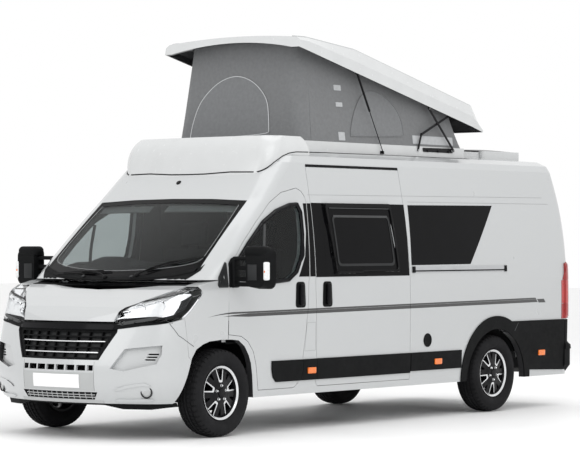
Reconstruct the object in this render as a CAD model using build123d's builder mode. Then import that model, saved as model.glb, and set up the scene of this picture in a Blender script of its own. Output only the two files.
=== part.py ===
"""Camper van: a large panel van with a raised pop-top roof, as separate pieces.

Millimetres. +X forward, +Y to the vehicle's left, +Z up, origin on the ground at the middle.
"""

from build123d import *
import os
from math import atan2, cos, degrees, hypot, radians, sin, sqrt

os.makedirs("parts", exist_ok=True)

# Driving dimensions
NOSE_X = 3181.5
TAIL_X = -3181.5
FRONT_AXLE_X = 2233.5
REAR_AXLE_X = -1801.5
AXLE_Z = 366.0
FRONT_WHEEL_Y = 905.0
REAR_WHEEL_Y = 895.0
WALL = 55.0
SKIN = 22.0
GLASS = 6.0
GAP = 4.0
FIT = 0.3
BELT_Z = 1270.0
HEADER_Z = 1993.0
GUTTER_Z = 2305.0
SILL_Z = 310.0
FLOOR_Z = 500.0
FLOOR_THICK = 50.0
FAR = 4000.0
SCUTTLE_Z = 1302.0

# Body forms, each a stack of plan outlines.
# Rows: height, half width, front x, bow of the front, front corner radius, rear x, rear corner radius
LOWER_FORM = [
    (SILL_Z, 1004, 2185, 4, 6, -3118, 110),
    (790, 1022, 2185, 4, 6, -3124, 110),
    (BELT_Z, 1025, 2185, 4, 6, -3120, 110),
]
GLASS_FORM = [
    (BELT_Z, 1025, 2600, 140, 210, -3120, 110),
    (1631, 1004, 2166, 85, 185, -3108, 110),
    (HEADER_Z, 960, 1706, 38, 150, -3066, 105),
]
HEADER_FORM = [
    (HEADER_Z, 960, 1706, 38, 150, -3066, 105),
    (2150, 936, 1550, 45, 160, -3030, 102),
    (GUTTER_Z, 911, 1400, 60, 170, -2988, 100),
]
ROOF_FORM = [
    (GUTTER_Z, 911, 1400, 60, 170, -2988, 100),
    (2365, 880, 1330, 60, 170, -2972, 100),
    (2408, 800, 1240, 60, 170, -2935, 100),
    (2438, 560, 1100, 60, 170, -2850, 100),
]
NOSE_FORM = [
    (300, 950, 3135, 300, 330, 1500, 5),
    (480, 1008, NOSE_X, 300, 340, 1500, 5),
    (700, 1020, 3162, 290, 340, 1500, 5),
    (960, 1024, 3085, 270, 320, 1500, 5),
    (1330, 1021, 2930, 260, 300, 1500, 5),
]
CAP_FORM = [
    (2190, 800, 1512, 50, 120, 868, 5),
    (2300, 846, 1482, 50, 130, 868, 5),
    (2440, 846, 1432, 45, 140, 868, 10),
    (2540, 800, 1352, 45, 150, 900, 40),
]


def plan_outline(half, x_front, bow, corner, x_rear, rear_corner):
    """Draws a plan outline: a bowed front, rounded corners, straight sides and a flat rear."""
    front_radius = (half**2 + bow**2) / (2 * bow)
    front_centre = x_front - front_radius
    corner_x = front_centre + sqrt((front_radius - corner) ** 2 - (half - corner) ** 2)
    corner_y = half - corner
    reach = hypot(corner_x - front_centre, corner_y)
    tangent_x = front_centre + (corner_x - front_centre) / reach * front_radius
    tangent_y = corner_y / reach * front_radius
    half_turn = (atan2(corner_y, corner_x - front_centre) + radians(90)) / 2
    middle_x = corner_x + corner * cos(half_turn)
    middle_y = corner_y + corner * sin(half_turn)
    trim = rear_corner * (1 - cos(radians(45)))
    ThreePointArc((tangent_x, -tangent_y), (x_front, 0), (tangent_x, tangent_y))
    ThreePointArc((tangent_x, tangent_y), (middle_x, middle_y), (corner_x, half))
    Line((corner_x, half), (x_rear + rear_corner, half))
    ThreePointArc(
        (x_rear + rear_corner, half), (x_rear + trim, half - trim), (x_rear, half - rear_corner)
    )
    Line((x_rear, half - rear_corner), (x_rear, rear_corner - half))
    ThreePointArc(
        (x_rear, rear_corner - half), (x_rear + trim, trim - half), (x_rear + rear_corner, -half)
    )
    Line((x_rear + rear_corner, -half), (corner_x, -half))
    ThreePointArc((corner_x, -half), (middle_x, -middle_y), (tangent_x, -tangent_y))


def form(rows, inset=0.0, ruled=False):
    """Lofts a body form, moved inwards by inset."""
    with BuildPart() as solid:
        for height, half, x_front, bow, corner, x_rear, rear_corner in rows:
            with BuildSketch(Plane.XY.offset(height)):
                with BuildLine():
                    plan_outline(
                        half - inset,
                        x_front - inset,
                        bow,
                        max(corner - inset, 3),
                        x_rear + inset,
                        max(rear_corner - inset, 3),
                    )
                make_face()
        loft(ruled=ruled)
    return solid.part


def shell(rows, outer, inner, ruled=False):
    """A wall between two insets of one form, open above and below."""
    with BuildPart() as wall:
        add(form(rows, outer, ruled))
        add(form(rows, inner, ruled), mode=Mode.SUBTRACT)
    return wall.part


def side_prism(points, low_y=-FAR, high_y=FAR, grow=0.0):
    """An X, Z outline pushed through from low_y to high_y."""
    with BuildPart() as prism:
        with BuildSketch(Plane.XZ.offset(-low_y)):
            with BuildLine():
                Polyline(*points, close=True)
            make_face()
            if grow:
                offset(amount=grow, kind=Kind.INTERSECTION)
        extrude(amount=low_y - high_y)
    return prism.part


def front_prism(points, low_x=-FAR, high_x=FAR, grow=0.0):
    """A Y, Z outline pushed through from low_x to high_x."""
    with BuildPart() as prism:
        with BuildSketch(Plane.YZ.offset(low_x)):
            with BuildLine():
                Polyline(*points, close=True)
            make_face()
            if grow:
                offset(amount=grow, kind=Kind.INTERSECTION)
        extrude(amount=high_x - low_x)
    return prism.part


def plan_prism(points, low_z, high_z, grow=0.0):
    """An X, Y outline pushed up from low_z to high_z."""
    with BuildPart() as prism:
        with BuildSketch(Plane.XY.offset(low_z)):
            with BuildLine():
                Polyline(*points, close=True)
            make_face()
            if grow:
                offset(amount=grow, kind=Kind.INTERSECTION)
        extrude(amount=high_z - low_z)
    return prism.part


def block(low, high):
    """A box between two corners."""
    with BuildPart() as solid:
        with Locations(tuple((a + b) / 2 for a, b in zip(low, high))):
            Box(*[b - a for a, b in zip(low, high)])
    return solid.part


def cylinder_y(x, z, radius, low_y, high_y):
    """A cylinder along Y."""
    with BuildPart() as solid:
        with BuildSketch(Plane.XZ.offset(-low_y)):
            with Locations((x, z)):
                Circle(radius)
        extrude(amount=low_y - high_y)
    return solid.part


def write(piece, name):
    piece.label = name
    export_step(piece, f"parts/{name}.step")


# Outlines on the sides, as X, Z points
FRONT_ARCH = [
    (2800, 100),
    (2771, 285),
    (2723, 414),
    (2680, 532),
    (2634, 667),
    (2578, 738),
    (2494, 777),
    (2410, 799),
    (2257, 808),
    (2128, 805),
    (2041, 796),
    (1961, 743),
    (1906, 668),
    (1875, 600),
    (1853, 497),
    (1831, 305),
    (1822, 100),
]
REAR_ARCH = (REAR_AXLE_X, 292.0, 495.0)
DOOR_FOOT_Z = 368.0
FRONT_DOOR = [
    (1290, DOOR_FOOT_Z),
    (1236, 404),
    (1196, 452),
    (1176, 522),
    (1170, 640),
    (1150, 760),
    (1133, 860),
    (1121, 960),
    (1107, 1042),
    (1097, 1278),
    (1078, 1330),
    (1058, 1952),
    (1074, 2010),
    (1114, 2056),
    (1180, 2082),
    (1397, 2040),
    (1574, 1947),
    (1775, 1785),
    (1973, 1608),
    (2116, 1449),
    (2164, 1300),
    (2172, 1180),
    (2172, 846),
    (2129, 842),
    (2006, 828),
    (1918, 781),
    (1845, 694),
    (1806, 580),
    (1782, 440),
    (1770, DOOR_FOOT_Z),
]
FRONT_WINDOW = [
    (1184, 1504),
    (1156, 1677),
    (1156, 1875),
    (1197, 1944),
    (1308, 1934),
    (1499, 1880),
    (1688, 1785),
    (1900, 1608),
    (2070, 1449),
    (2110, 1345),
    (2080, 1306),
    (1581, 1276),
    (1377, 1291),
    (1267, 1358),
]
SLIDING_DOOR = [
    (-402, DOOR_FOOT_Z),
    (960, DOOR_FOOT_Z),
    (984, 400),
    (981, 640),
    (990, 1000),
    (1000, 1277),
    (995, 1316),
    (1002, 1953),
    (1012, 2285),
    (-350, 2285),
    (-395, 1400),
]
SLIDING_WINDOW = [(724, 1336), (837, 1957), (-135, 1960), (-226, 1354)]
REAR_DOOR_EDGE = [(GAP, 645), (900, 645), (902, 1270), (850, 1990), (806, 2282), (GAP, 2282)]
WINDSCREEN = [
    (0, 1282),
    (450, 1296),
    (836, 1336),
    (872, 1401),
    (838, 1969),
    (450, 1987),
    (0, 1993),
    (-450, 1987),
    (-838, 1969),
    (-872, 1401),
    (-836, 1336),
    (-450, 1296),
]

# ---- Body shell, shared by the panels
with BuildPart() as body_ring:
    add(shell(LOWER_FORM, 0, WALL))
    add(block((2100, -967, 0), (FAR, 967, BELT_Z)), mode=Mode.SUBTRACT)
    add(shell(GLASS_FORM, 0, WALL))
    add(shell(HEADER_FORM, 0, WALL))

with BuildPart() as body_openings:
    add(side_prism(FRONT_DOOR, grow=GAP / 2))
    add(side_prism(FRONT_ARCH))
    with Locations((REAR_ARCH[0], 0, REAR_ARCH[1])):
        Cylinder(REAR_ARCH[2], 2 * FAR, rotation=(90, 0, 0))

HEADER_EDGE = 745.0
with BuildPart() as body_sides:
    add(body_ring.part)
    add(body_openings.part, mode=Mode.SUBTRACT)
    add(side_prism(SLIDING_DOOR, 0, FAR, grow=GAP / 2), mode=Mode.SUBTRACT)
    add(side_prism(SLIDING_WINDOW, -FAR, 0), mode=Mode.SUBTRACT)
    add(front_prism(WINDSCREEN, 1300, FAR), mode=Mode.SUBTRACT)
    add(block((2174, -FAR, 0), (FAR, FAR, SCUTTLE_Z)), mode=Mode.SUBTRACT)
    for side in (1, -1):
        edge = [(side * y, z) for y, z in REAR_DOOR_EDGE]
        add(front_prism(edge, -FAR, -2800, grow=GAP), mode=Mode.SUBTRACT)
    add(block((1300, -HEADER_EDGE, 1900), (FAR, HEADER_EDGE, FAR)), mode=Mode.SUBTRACT)
    add(block((-FAR, -HEADER_EDGE, 2270), (-2800, HEADER_EDGE, FAR)), mode=Mode.SUBTRACT)
for side, hand in ((1, "left"), (-1, "right")):
    with BuildPart() as body_side:
        add(body_sides.part)
        add(block((-FAR, min(0, side * FAR), 0), (FAR, max(0, side * FAR), FAR)), mode=Mode.INTERSECT)
    write(body_side.part, f"body_side_{hand}")

with BuildPart() as sliding_door:
    add(body_ring.part)
    add(side_prism(SLIDING_DOOR, 0, FAR, grow=-GAP / 2), mode=Mode.INTERSECT)
    add(side_prism(SLIDING_WINDOW, 0, FAR), mode=Mode.SUBTRACT)
write(sliding_door.part, "sliding_door")

with BuildPart() as side_windows:
    add(shell(GLASS_FORM, -14, 26))
    add(side_prism(SLIDING_WINDOW, grow=-FIT), mode=Mode.INTERSECT)
write(side_windows.part, "side_windows")

with BuildPart() as windscreen:
    add(shell(GLASS_FORM, 4, 4 + 2 * GLASS))
    add(front_prism(WINDSCREEN, 1300, FAR, grow=-FIT), mode=Mode.INTERSECT)
write(windscreen.part, "windscreen")

with BuildPart() as door_ring:
    add(body_ring.part)
    add(side_prism(FRONT_DOOR, grow=-GAP / 2), mode=Mode.INTERSECT)
with BuildPart() as pane_ring:
    add(shell(GLASS_FORM, 10, 10 + GLASS))
    add(side_prism(FRONT_WINDOW, grow=-FIT), mode=Mode.INTERSECT)
for side, hand in ((1, "left"), (-1, "right")):
    half_space = block((-FAR, min(0, side * FAR), 0), (FAR, max(0, side * FAR), FAR))
    with BuildPart() as front_door:
        add(door_ring.part)
        add(half_space, mode=Mode.INTERSECT)
        add(side_prism(FRONT_WINDOW), mode=Mode.SUBTRACT)
    write(front_door.part, f"front_door_{hand}")
    with BuildPart() as front_window:
        add(pane_ring.part)
        add(half_space, mode=Mode.INTERSECT)
    write(front_window.part, f"front_window_{hand}")
    edge = [(side * y, z) for y, z in REAR_DOOR_EDGE]
    with BuildPart() as rear_door:
        add(body_ring.part)
        add(front_prism(edge, -FAR, -2800), mode=Mode.INTERSECT)
    write(rear_door.part, f"rear_door_{hand}")

# ---- Roof, front cap and pop-top plinth
ROOF_THICK = 45.0
ROOF_HOLE = ((-1620, -590, 2200), (760, 590, 2600))
PLINTH_FRONT = 864.0
PLINTH_REAR = -1721.0
PLINTH_HALF = 740.0
PLINTH_TOP = 2512.0
PLINTH_WALL = 22.0
roof_outer = form(ROOF_FORM, ruled=True)
with BuildPart() as roof_panel:
    add(roof_outer)
    add(form([(z - ROOF_THICK, *row) for z, *row in ROOF_FORM], WALL, ruled=True), mode=Mode.SUBTRACT)
    add(block(*ROOF_HOLE), mode=Mode.SUBTRACT)
    with BuildPart(mode=Mode.PRIVATE) as header:
        add(body_ring.part)
        add(block((1300, -HEADER_EDGE, 1900), (FAR, HEADER_EDGE, FAR)), mode=Mode.INTERSECT)
        add(front_prism(WINDSCREEN, 1300, FAR), mode=Mode.SUBTRACT)
    add(header.part)
write(roof_panel.part, "roof_panel")

# Lid, drawn closed and then raised about the pole of its linkage
LID_ANGLE = 12.8
LID_POLE = (-2804.1, 1968.9)
LID_EDGE_Z = 2470.0
LID_WALL = 11.0
LID_TOP = 26.0
LID_REAR = -1812.0
LID_FRONT = 1134.0
# Sections along the closed lid:
# x, half width, skirt height, shoulder half width, shoulder height, crown height
LID_SECTIONS = [
    (LID_REAR, 770, 18, 740, 30, 40),
    (-1600, 786, 98, 742, 205, 248),
    (300, 786, 98, 742, 212, 262),
    (1000, 786, 84, 744, 122, 168),
    (LID_FRONT, 782, 62, 744, 92, 128),
]


def lid_form(inset, drop):
    """The lid's solid form, its walls moved in by inset and its top down by drop."""
    with BuildPart() as solid:
        for x, half, skirt, shoulder_half, shoulder, crown in LID_SECTIONS:
            station = min(max(x, LID_REAR + 2 * inset), LID_FRONT - 2 * inset)
            edge = half - inset
            rim = shoulder_half - inset
            base = LID_EDGE_Z - (1 if drop else 0)
            skirt_z = LID_EDGE_Z + max(skirt - drop, 4)
            shoulder_z = LID_EDGE_Z + max(shoulder - drop, 6)
            crown_z = LID_EDGE_Z + max(crown - drop, 8)
            with BuildSketch(Plane.YZ.offset(station)):
                with BuildLine():
                    Polyline(
                        (-rim, shoulder_z),
                        (-edge, skirt_z),
                        (-edge, base),
                        (edge, base),
                        (edge, skirt_z),
                        (rim, shoulder_z),
                    )
                    ThreePointArc((rim, shoulder_z), (0, crown_z), (-rim, shoulder_z))
                make_face()
        loft(ruled=True)
    return solid.part


def raised(piece):
    """Moves a piece of the closed lid to where the raised lid holds it."""
    return piece.rotate(Axis((LID_POLE[0], 0, LID_POLE[1]), (0, 1, 0)), -LID_ANGLE)


LID_ARCH = 70.0
with BuildPart() as pop_top_lid:
    add(lid_form(0, 0))
    add(lid_form(LID_WALL, LID_TOP), mode=Mode.SUBTRACT)
    with BuildSketch(Plane.YZ.offset(900)):
        with BuildLine():
            ThreePointArc((-700, LID_EDGE_Z), (0, LID_EDGE_Z + LID_ARCH), (700, LID_EDGE_Z))
            Line((700, LID_EDGE_Z), (-700, LID_EDGE_Z))
        make_face()
    extrude(amount=400, mode=Mode.SUBTRACT)

# Linkage of the raised lid. Pivots as X, Z points
LONG_FOOT = (-1462.9, 2482.8)
LONG_HEAD = (-1054.4, 2874.5)
CRANK_FOOT = (-905.0, 2476.0)
KNEE = (-957.2, 2627.2)
CROSS_HEAD = (-1434.0, 2832.0)
STRUT_HEAD = (49.9, 3144.0)
STRUT_FOOT = (-343.6, 2441.3)
# Layers between the plinth and the lid's skirt, as low and high Y
CRANK_LAYER = (746.0, 752.0)
CROSS_LAYER = (754.0, 760.0)
LONG_LAYER = (762.0, 768.0)
STRUT_Y = 757.0
LINK_HALF = 11.0
PIN_R = 6.0
PIN_FIT = 0.06
BOSS_R = 12.0
SKIRT_Y = 773.0


def bar(start, end, layer, side, pin_at_start=True):
    """A flat link between two pivots, bored for the pin at its start."""
    low_y, high_y = layer
    length = hypot(end[0] - start[0], end[1] - start[1])
    turn = degrees(atan2(end[1] - start[1], end[0] - start[0]))
    origin = ((start[0] + end[0]) / 2, side * low_y, (start[1] + end[1]) / 2)
    with BuildPart() as link:
        with BuildSketch(Plane(origin=origin, x_dir=(1, 0, 0), z_dir=(0, -1, 0))):
            SlotCenterToCenter(length, 2 * LINK_HALF, rotation=turn)
        extrude(amount=-side * (high_y - low_y))
        if pin_at_start:
            add(
                cylinder_y(start[0], start[1], PIN_R + PIN_FIT, *sorted((side * 700, side * 800))),
                mode=Mode.SUBTRACT,
            )
    return link.part


def pivot(point, root_y, face_y, pin_y, side):
    """A boss from root_y to face_y that carries a pin out to pin_y."""
    with BuildPart() as stud:
        add(cylinder_y(point[0], point[1], BOSS_R, *sorted((side * root_y, side * face_y))))
        if pin_y:
            add(cylinder_y(point[0], point[1], PIN_R, *sorted((side * root_y, side * pin_y))))
    return stud.part


with BuildPart() as raised_lid:
    add(raised(pop_top_lid.part))
    for side in (1, -1):
        add(pivot(CROSS_HEAD, SKIRT_Y + 6, CROSS_LAYER[1] + FIT, CROSS_LAYER[0], side))
        add(pivot(LONG_HEAD, SKIRT_Y + 6, LONG_LAYER[1] + FIT, None, side))
        add(pivot(STRUT_HEAD, SKIRT_Y + 6, STRUT_Y + 11, STRUT_Y - 11, side))
write(raised_lid.part, "pop_top_lid")

# Links: node, start pivot, end pivot, layer
LINKS = [
    ("long_links", LONG_FOOT, LONG_HEAD, LONG_LAYER),
    ("cross_links", CROSS_HEAD, KNEE, CROSS_LAYER),
    ("crank_links", CRANK_FOOT, KNEE, CRANK_LAYER),
]
for name, start, end, layer in LINKS:
    with BuildPart() as links:
        add(bar(start, end, layer, 1))
        add(bar(start, end, layer, -1))
    write(links.part, name)

TUBE_LENGTH = 389.0
TUBE_R = 10.0
ROD_R = 4.0
strut_length = hypot(STRUT_HEAD[0] - STRUT_FOOT[0], STRUT_HEAD[1] - STRUT_FOOT[1])
strut_dir = Vector(STRUT_FOOT[0] - STRUT_HEAD[0], 0, STRUT_FOOT[1] - STRUT_HEAD[1]).normalized()
with BuildPart() as strut_tubes:
    for side in (1, -1):
        head = Vector(STRUT_HEAD[0], side * STRUT_Y, STRUT_HEAD[1])
        with BuildSketch(Plane(origin=head, z_dir=strut_dir)):
            Circle(TUBE_R)
        extrude(amount=TUBE_LENGTH)
        with BuildSketch(Plane(origin=head + strut_dir * 20, z_dir=strut_dir)):
            Circle(ROD_R + 0.08)
        extrude(amount=TUBE_LENGTH, mode=Mode.SUBTRACT)
        with Locations(head):
            Cylinder(BOSS_R, 2 * TUBE_R, rotation=(90, 0, 0))
            Cylinder(PIN_R + PIN_FIT, 60, rotation=(90, 0, 0), mode=Mode.SUBTRACT)
write(strut_tubes.part, "strut_tubes")
with BuildPart() as strut_rods:
    for side in (1, -1):
        head = Vector(STRUT_HEAD[0], side * STRUT_Y, STRUT_HEAD[1])
        with BuildSketch(Plane(origin=head + strut_dir * 300, z_dir=strut_dir)):
            Circle(ROD_R)
        extrude(amount=strut_length - 300)
        with Locations(head + strut_dir * strut_length):
            Cylinder(9, 14, rotation=(90, 0, 0))
write(strut_rods.part, "strut_rods")

with BuildPart() as roof_plinth:
    add(block((PLINTH_REAR, -PLINTH_HALF, 2360), (PLINTH_FRONT, PLINTH_HALF, PLINTH_TOP)))
    fillet(roof_plinth.edges().filter_by(Axis.Z), 70)
    inner_rear = PLINTH_REAR + PLINTH_WALL
    inner_half = PLINTH_HALF - PLINTH_WALL
    add(
        block((inner_rear, -inner_half, 2300), (PLINTH_FRONT - PLINTH_WALL, inner_half, 2600)),
        mode=Mode.SUBTRACT,
    )
    add(roof_outer, mode=Mode.SUBTRACT)
    for side in (1, -1):
        add(pivot(LONG_FOOT, PLINTH_HALF - 4, LONG_LAYER[0] - FIT, LONG_LAYER[1], side))
        add(pivot(CRANK_FOOT, PLINTH_HALF - 4, CRANK_LAYER[0] - FIT, CRANK_LAYER[1], side))
        add(pivot(STRUT_FOOT, PLINTH_HALF - 4, STRUT_Y - 9, None, side))
write(roof_plinth.part, "roof_plinth")

LID_CLEAR = 10.0
with BuildPart() as roof_cap:
    add(form(CAP_FORM))
    add(form(HEADER_FORM), mode=Mode.SUBTRACT)
    add(roof_outer, mode=Mode.SUBTRACT)
    pocket_low = (0, -786 - LID_CLEAR, LID_EDGE_Z - LID_CLEAR)
    add(block(pocket_low, (LID_FRONT + 2 * LID_CLEAR, 786 + LID_CLEAR, FAR)), mode=Mode.SUBTRACT)
write(roof_cap.part, "roof_cap")

# Canvas: side outline as X, Z points, leaning in from the plinth to the lid
CANVAS_SIDE = [(838, PLINTH_TOP), (748, 3360), (-1480, 2854), (-1574, 2664), (-1700, PLINTH_TOP)]
CANVAS_FOOT_HALF = 730.0
CANVAS_TOP_HALF = 622.0
CANVAS_THICK = 8.0
CANVAS_TOP_Z = 3400.0


def canvas_form(inset):
    """The canvas as a solid wedge, moved in by inset."""
    with BuildPart() as wedge:
        add(side_prism(CANVAS_SIDE, grow=-inset) if inset else side_prism(CANVAS_SIDE))
        foot = CANVAS_FOOT_HALF - inset
        top = CANVAS_TOP_HALF - inset
        lean = [(-foot, PLINTH_TOP - 40), (foot, PLINTH_TOP - 40), (top, CANVAS_TOP_Z), (-top, CANVAS_TOP_Z)]
        add(front_prism(lean), mode=Mode.INTERSECT)
    return wedge.part


with BuildPart() as canvas:
    add(canvas_form(0))
    add(canvas_form(CANVAS_THICK), mode=Mode.SUBTRACT)
    with BuildSketch(Plane.XY.offset(PLINTH_TOP - 1)):
        with Locations(((838 - 1700) / 2, 0)):
            Rectangle(838 + 1700 - 2 * CANVAS_THICK, 2 * (CANVAS_FOOT_HALF - CANVAS_THICK) - 6)
    extrude(amount=20, mode=Mode.SUBTRACT)
    top_slot = [(735, 3352 - 40), (760, 3500), (-1490, 3000), (-1462, 2800)]
    add(side_prism(top_slot, -CANVAS_TOP_HALF + 26, CANVAS_TOP_HALF - 26), mode=Mode.SUBTRACT)
write(canvas.part, "canvas")

with BuildPart() as roof_light:
    add(block((-2830, 60, 2400), (-2180, 620, 2508)))
    fillet(roof_light.edges().filter_by(Axis.Z), 40)
    add(block((-2170, 110, 2400), (-1920, 570, 2496)))
    add(roof_outer, mode=Mode.SUBTRACT)
write(roof_light.part, "roof_light")

# ---- Nose: bonnet, wings, bumper, lamps, grille, cowl
NOSE_SIDE = [
    (1500, 300),
    (3300, 300),
    (3300, 955),
    (3090, 955),
    (3040, 1004),
    (2938, 1082),
    (2788, 1160),
    (2649, 1222),
    (2540, 1258),
    (2420, 1284),
    (2300, SCUTTLE_Z - GAP),
    (1500, SCUTTLE_Z - GAP),
]
BONNET_PLAN = [
    (3300, -490),
    (3300, 490),
    (3040, 492),
    (2938, 566),
    (2788, 720),
    (2650, 846),
    (2548, 890),
    (2546, 780),
    (2556, 600),
    (2630, 300),
    (2658, 0),
    (2630, -300),
    (2556, -600),
    (2546, -780),
    (2548, -890),
    (2650, -846),
    (2788, -720),
    (2938, -566),
    (3040, -492),
]
LAMP_SIDE = [
    (3160, 962),
    (3000, 952),
    (2820, 972),
    (2716, 1000),
    (2655, 1050),
    (2590, 1115),
    (2519, 1186),
    (2519, 1216),
    (2640, 1300),
    (3160, 1300),
]
BUMPER_SIDE = [
    (2400, 250),
    (2400, 560),
    (2590, 600),
    (2674, 679),
    (2712, 990),
    (2820, 960),
    (2950, 932),
    (3050, 896),
    (3300, 896),
    (3300, 250),
]
GRILLE_FACE = [(-435, 654), (435, 654), (562, 880), (562, 960), (-562, 960), (-562, 880)]
LOWER_GRILLE_FACE = [(-380, 330), (380, 330), (420, 392), (-420, 392)]
# Row of openings under the grille: low y, high y of those on one side
BUMPER_SLOTS = [(8, 100), (116, 208), (224, 316), (332, 388)]
LAMP_RECESS = [(540, 588), (650, 566), (902, 628), (928, 704), (926, 778), (650, 748)]
VENT_SLOTS = [(810, 886, 698, 711), (802, 878, 676, 688), (790, 868, 654, 666)]
RECESS_DEPTH = 34.0
LAMP_INNER = 505.0

nose_outer = form(NOSE_FORM)
with BuildPart() as nose_shell:
    add(nose_outer)
    add(side_prism(NOSE_SIDE), mode=Mode.INTERSECT)
    with BuildPart(mode=Mode.PRIVATE) as nose_inside:
        add(form(NOSE_FORM, SKIN))
        add(side_prism([(x, z - (SKIN if z > 350 else 60)) for x, z in NOSE_SIDE]), mode=Mode.INTERSECT)
    add(nose_inside.part, mode=Mode.SUBTRACT)
    add(block((0, -FAR, 0), (2176, FAR, FAR)), mode=Mode.SUBTRACT)
    add(side_prism(FRONT_ARCH), mode=Mode.SUBTRACT)

glass_solid = form(GLASS_FORM, -GAP)
bonnet_cut = plan_prism(BONNET_PLAN, 940, 1400)
bonnet_room = plan_prism(BONNET_PLAN, 940, 1400, grow=GAP)
lamp_cut = side_prism(LAMP_SIDE)
lamp_room = side_prism(LAMP_SIDE, grow=GAP / 2)
bumper_cut = side_prism(BUMPER_SIDE)
bumper_room = side_prism(BUMPER_SIDE, grow=GAP / 2)
lamp_band = block((0, -LAMP_INNER, 0), (FAR, LAMP_INNER, FAR))

with BuildPart() as bonnet:
    add(nose_shell.part)
    add(bonnet_cut, mode=Mode.INTERSECT)
    add(glass_solid, mode=Mode.SUBTRACT)
    add(block((0, -FAR, 0), (FAR, FAR, 966)), mode=Mode.SUBTRACT)
write(bonnet.part, "bonnet")

with BuildPart() as headlamps:
    add(nose_shell.part)
    add(lamp_cut, mode=Mode.INTERSECT)
    add(lamp_band, mode=Mode.SUBTRACT)
    add(bonnet_room, mode=Mode.SUBTRACT)
    add(block((0, -600, 0), (2620, 600, FAR)), mode=Mode.SUBTRACT)
    add(block((0, -882, 0), (2560, 882, FAR)), mode=Mode.SUBTRACT)
write(headlamps.part, "headlamps")

with BuildPart() as front_bumper:
    add(nose_shell.part)
    add(bumper_cut, mode=Mode.INTERSECT)
    add(front_prism(GRILLE_FACE, 2600, FAR), mode=Mode.SUBTRACT)
    add(front_prism(LOWER_GRILLE_FACE, 2600, FAR), mode=Mode.SUBTRACT)
    for side in (1, -1):
        for low_y, high_y in BUMPER_SLOTS:
            low_y, high_y = sorted((side * low_y, side * high_y))
            add(block((2900, low_y, 567), (FAR, high_y, 612)), mode=Mode.SUBTRACT)
        recess = [(side * y, z) for y, z in LAMP_RECESS]
        with BuildPart(mode=Mode.PRIVATE) as pocket:
            add(shell(NOSE_FORM, 2, RECESS_DEPTH + 12))
            add(front_prism(recess, 2600, FAR, grow=10), mode=Mode.INTERSECT)
        with BuildPart(mode=Mode.PRIVATE) as pocket_room:
            add(shell(NOSE_FORM, -5, RECESS_DEPTH))
            add(front_prism(recess, 2600, FAR), mode=Mode.INTERSECT)
        add(pocket.part)
        add(pocket_room.part, mode=Mode.SUBTRACT)
        for low_y, high_y, low_z, high_z in VENT_SLOTS:
            low_y, high_y = sorted((side * low_y, side * high_y))
            add(block((2700, low_y, low_z), (FAR, high_y, high_z)), mode=Mode.SUBTRACT)
        with BuildPart(mode=Mode.PRIVATE) as seam:
            add(shell(NOSE_FORM, -1, 4))
            low_y, high_y = sorted((side * 396, side * 399))
            add(block((2900, low_y, 398), (FAR, high_y, 640)), mode=Mode.INTERSECT)
        add(seam.part, mode=Mode.SUBTRACT)
write(front_bumper.part, "front_bumper")

# Grille slots: low z, high z
GRILLE_SLOTS = [(672, 706), (716, 750), (760, 794), (804, 838), (848, 880)]
with BuildPart() as grille:
    add(shell(NOSE_FORM, 14, 14 + SKIN))
    add(front_prism(GRILLE_FACE, 2600, FAR, grow=-FIT), mode=Mode.INTERSECT)
    add(block((0, -FAR, 950), (FAR, FAR, FAR)), mode=Mode.SUBTRACT)
    for low_z, high_z in GRILLE_SLOTS:
        reach = 395 + (low_z - 654) * 0.55
        add(block((2600, -reach, low_z), (FAR, reach, high_z)), mode=Mode.SUBTRACT)
    with BuildPart(mode=Mode.PRIVATE) as garnish:
        add(shell(NOSE_FORM, -2, SKIN))
        add(block((2730, -FAR, 899), (FAR, FAR, 1000)), mode=Mode.INTERSECT)
        add(bumper_room, mode=Mode.SUBTRACT)
        add(lamp_room, mode=Mode.SUBTRACT)
        add(block((0, -FAR, 960), (FAR, FAR, FAR)), mode=Mode.SUBTRACT)
    add(garnish.part)
    with BuildPart(mode=Mode.PRIVATE) as lower_mesh:
        add(shell(NOSE_FORM, 12, 12 + SKIN))
        add(front_prism(LOWER_GRILLE_FACE, 2600, FAR, grow=-FIT), mode=Mode.INTERSECT)
    add(lower_mesh.part)
write(grille.part, "grille")

with BuildPart() as front_wings:
    add(nose_shell.part)
    add(block((2176, -FAR, 0), (2730, FAR, FAR)), mode=Mode.INTERSECT)
    add(bonnet_room, mode=Mode.SUBTRACT)
    add(lamp_room, mode=Mode.SUBTRACT)
    add(bumper_room, mode=Mode.SUBTRACT)
    add(block((0, -880, 1000), (FAR, 880, FAR)), mode=Mode.SUBTRACT)
write(front_wings.part, "front_wings")

with BuildPart() as cowl:
    add(nose_shell.part)
    add(block((2260, -876, 1200), (2660, 876, FAR)), mode=Mode.INTERSECT)
    add(bonnet_room, mode=Mode.SUBTRACT)
    add(lamp_room, mode=Mode.SUBTRACT)
    add(form(GLASS_FORM, 0), mode=Mode.SUBTRACT)
    for side in (1, -1):
        low_y, high_y = sorted((side * 780, side * FAR))
        add(block((2575, low_y, 0), (FAR, high_y, FAR)), mode=Mode.SUBTRACT)
write(cowl.part, "cowl")

# ---- Lower cladding, bumper and lamps at the rear
CLAD = 12.0
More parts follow.
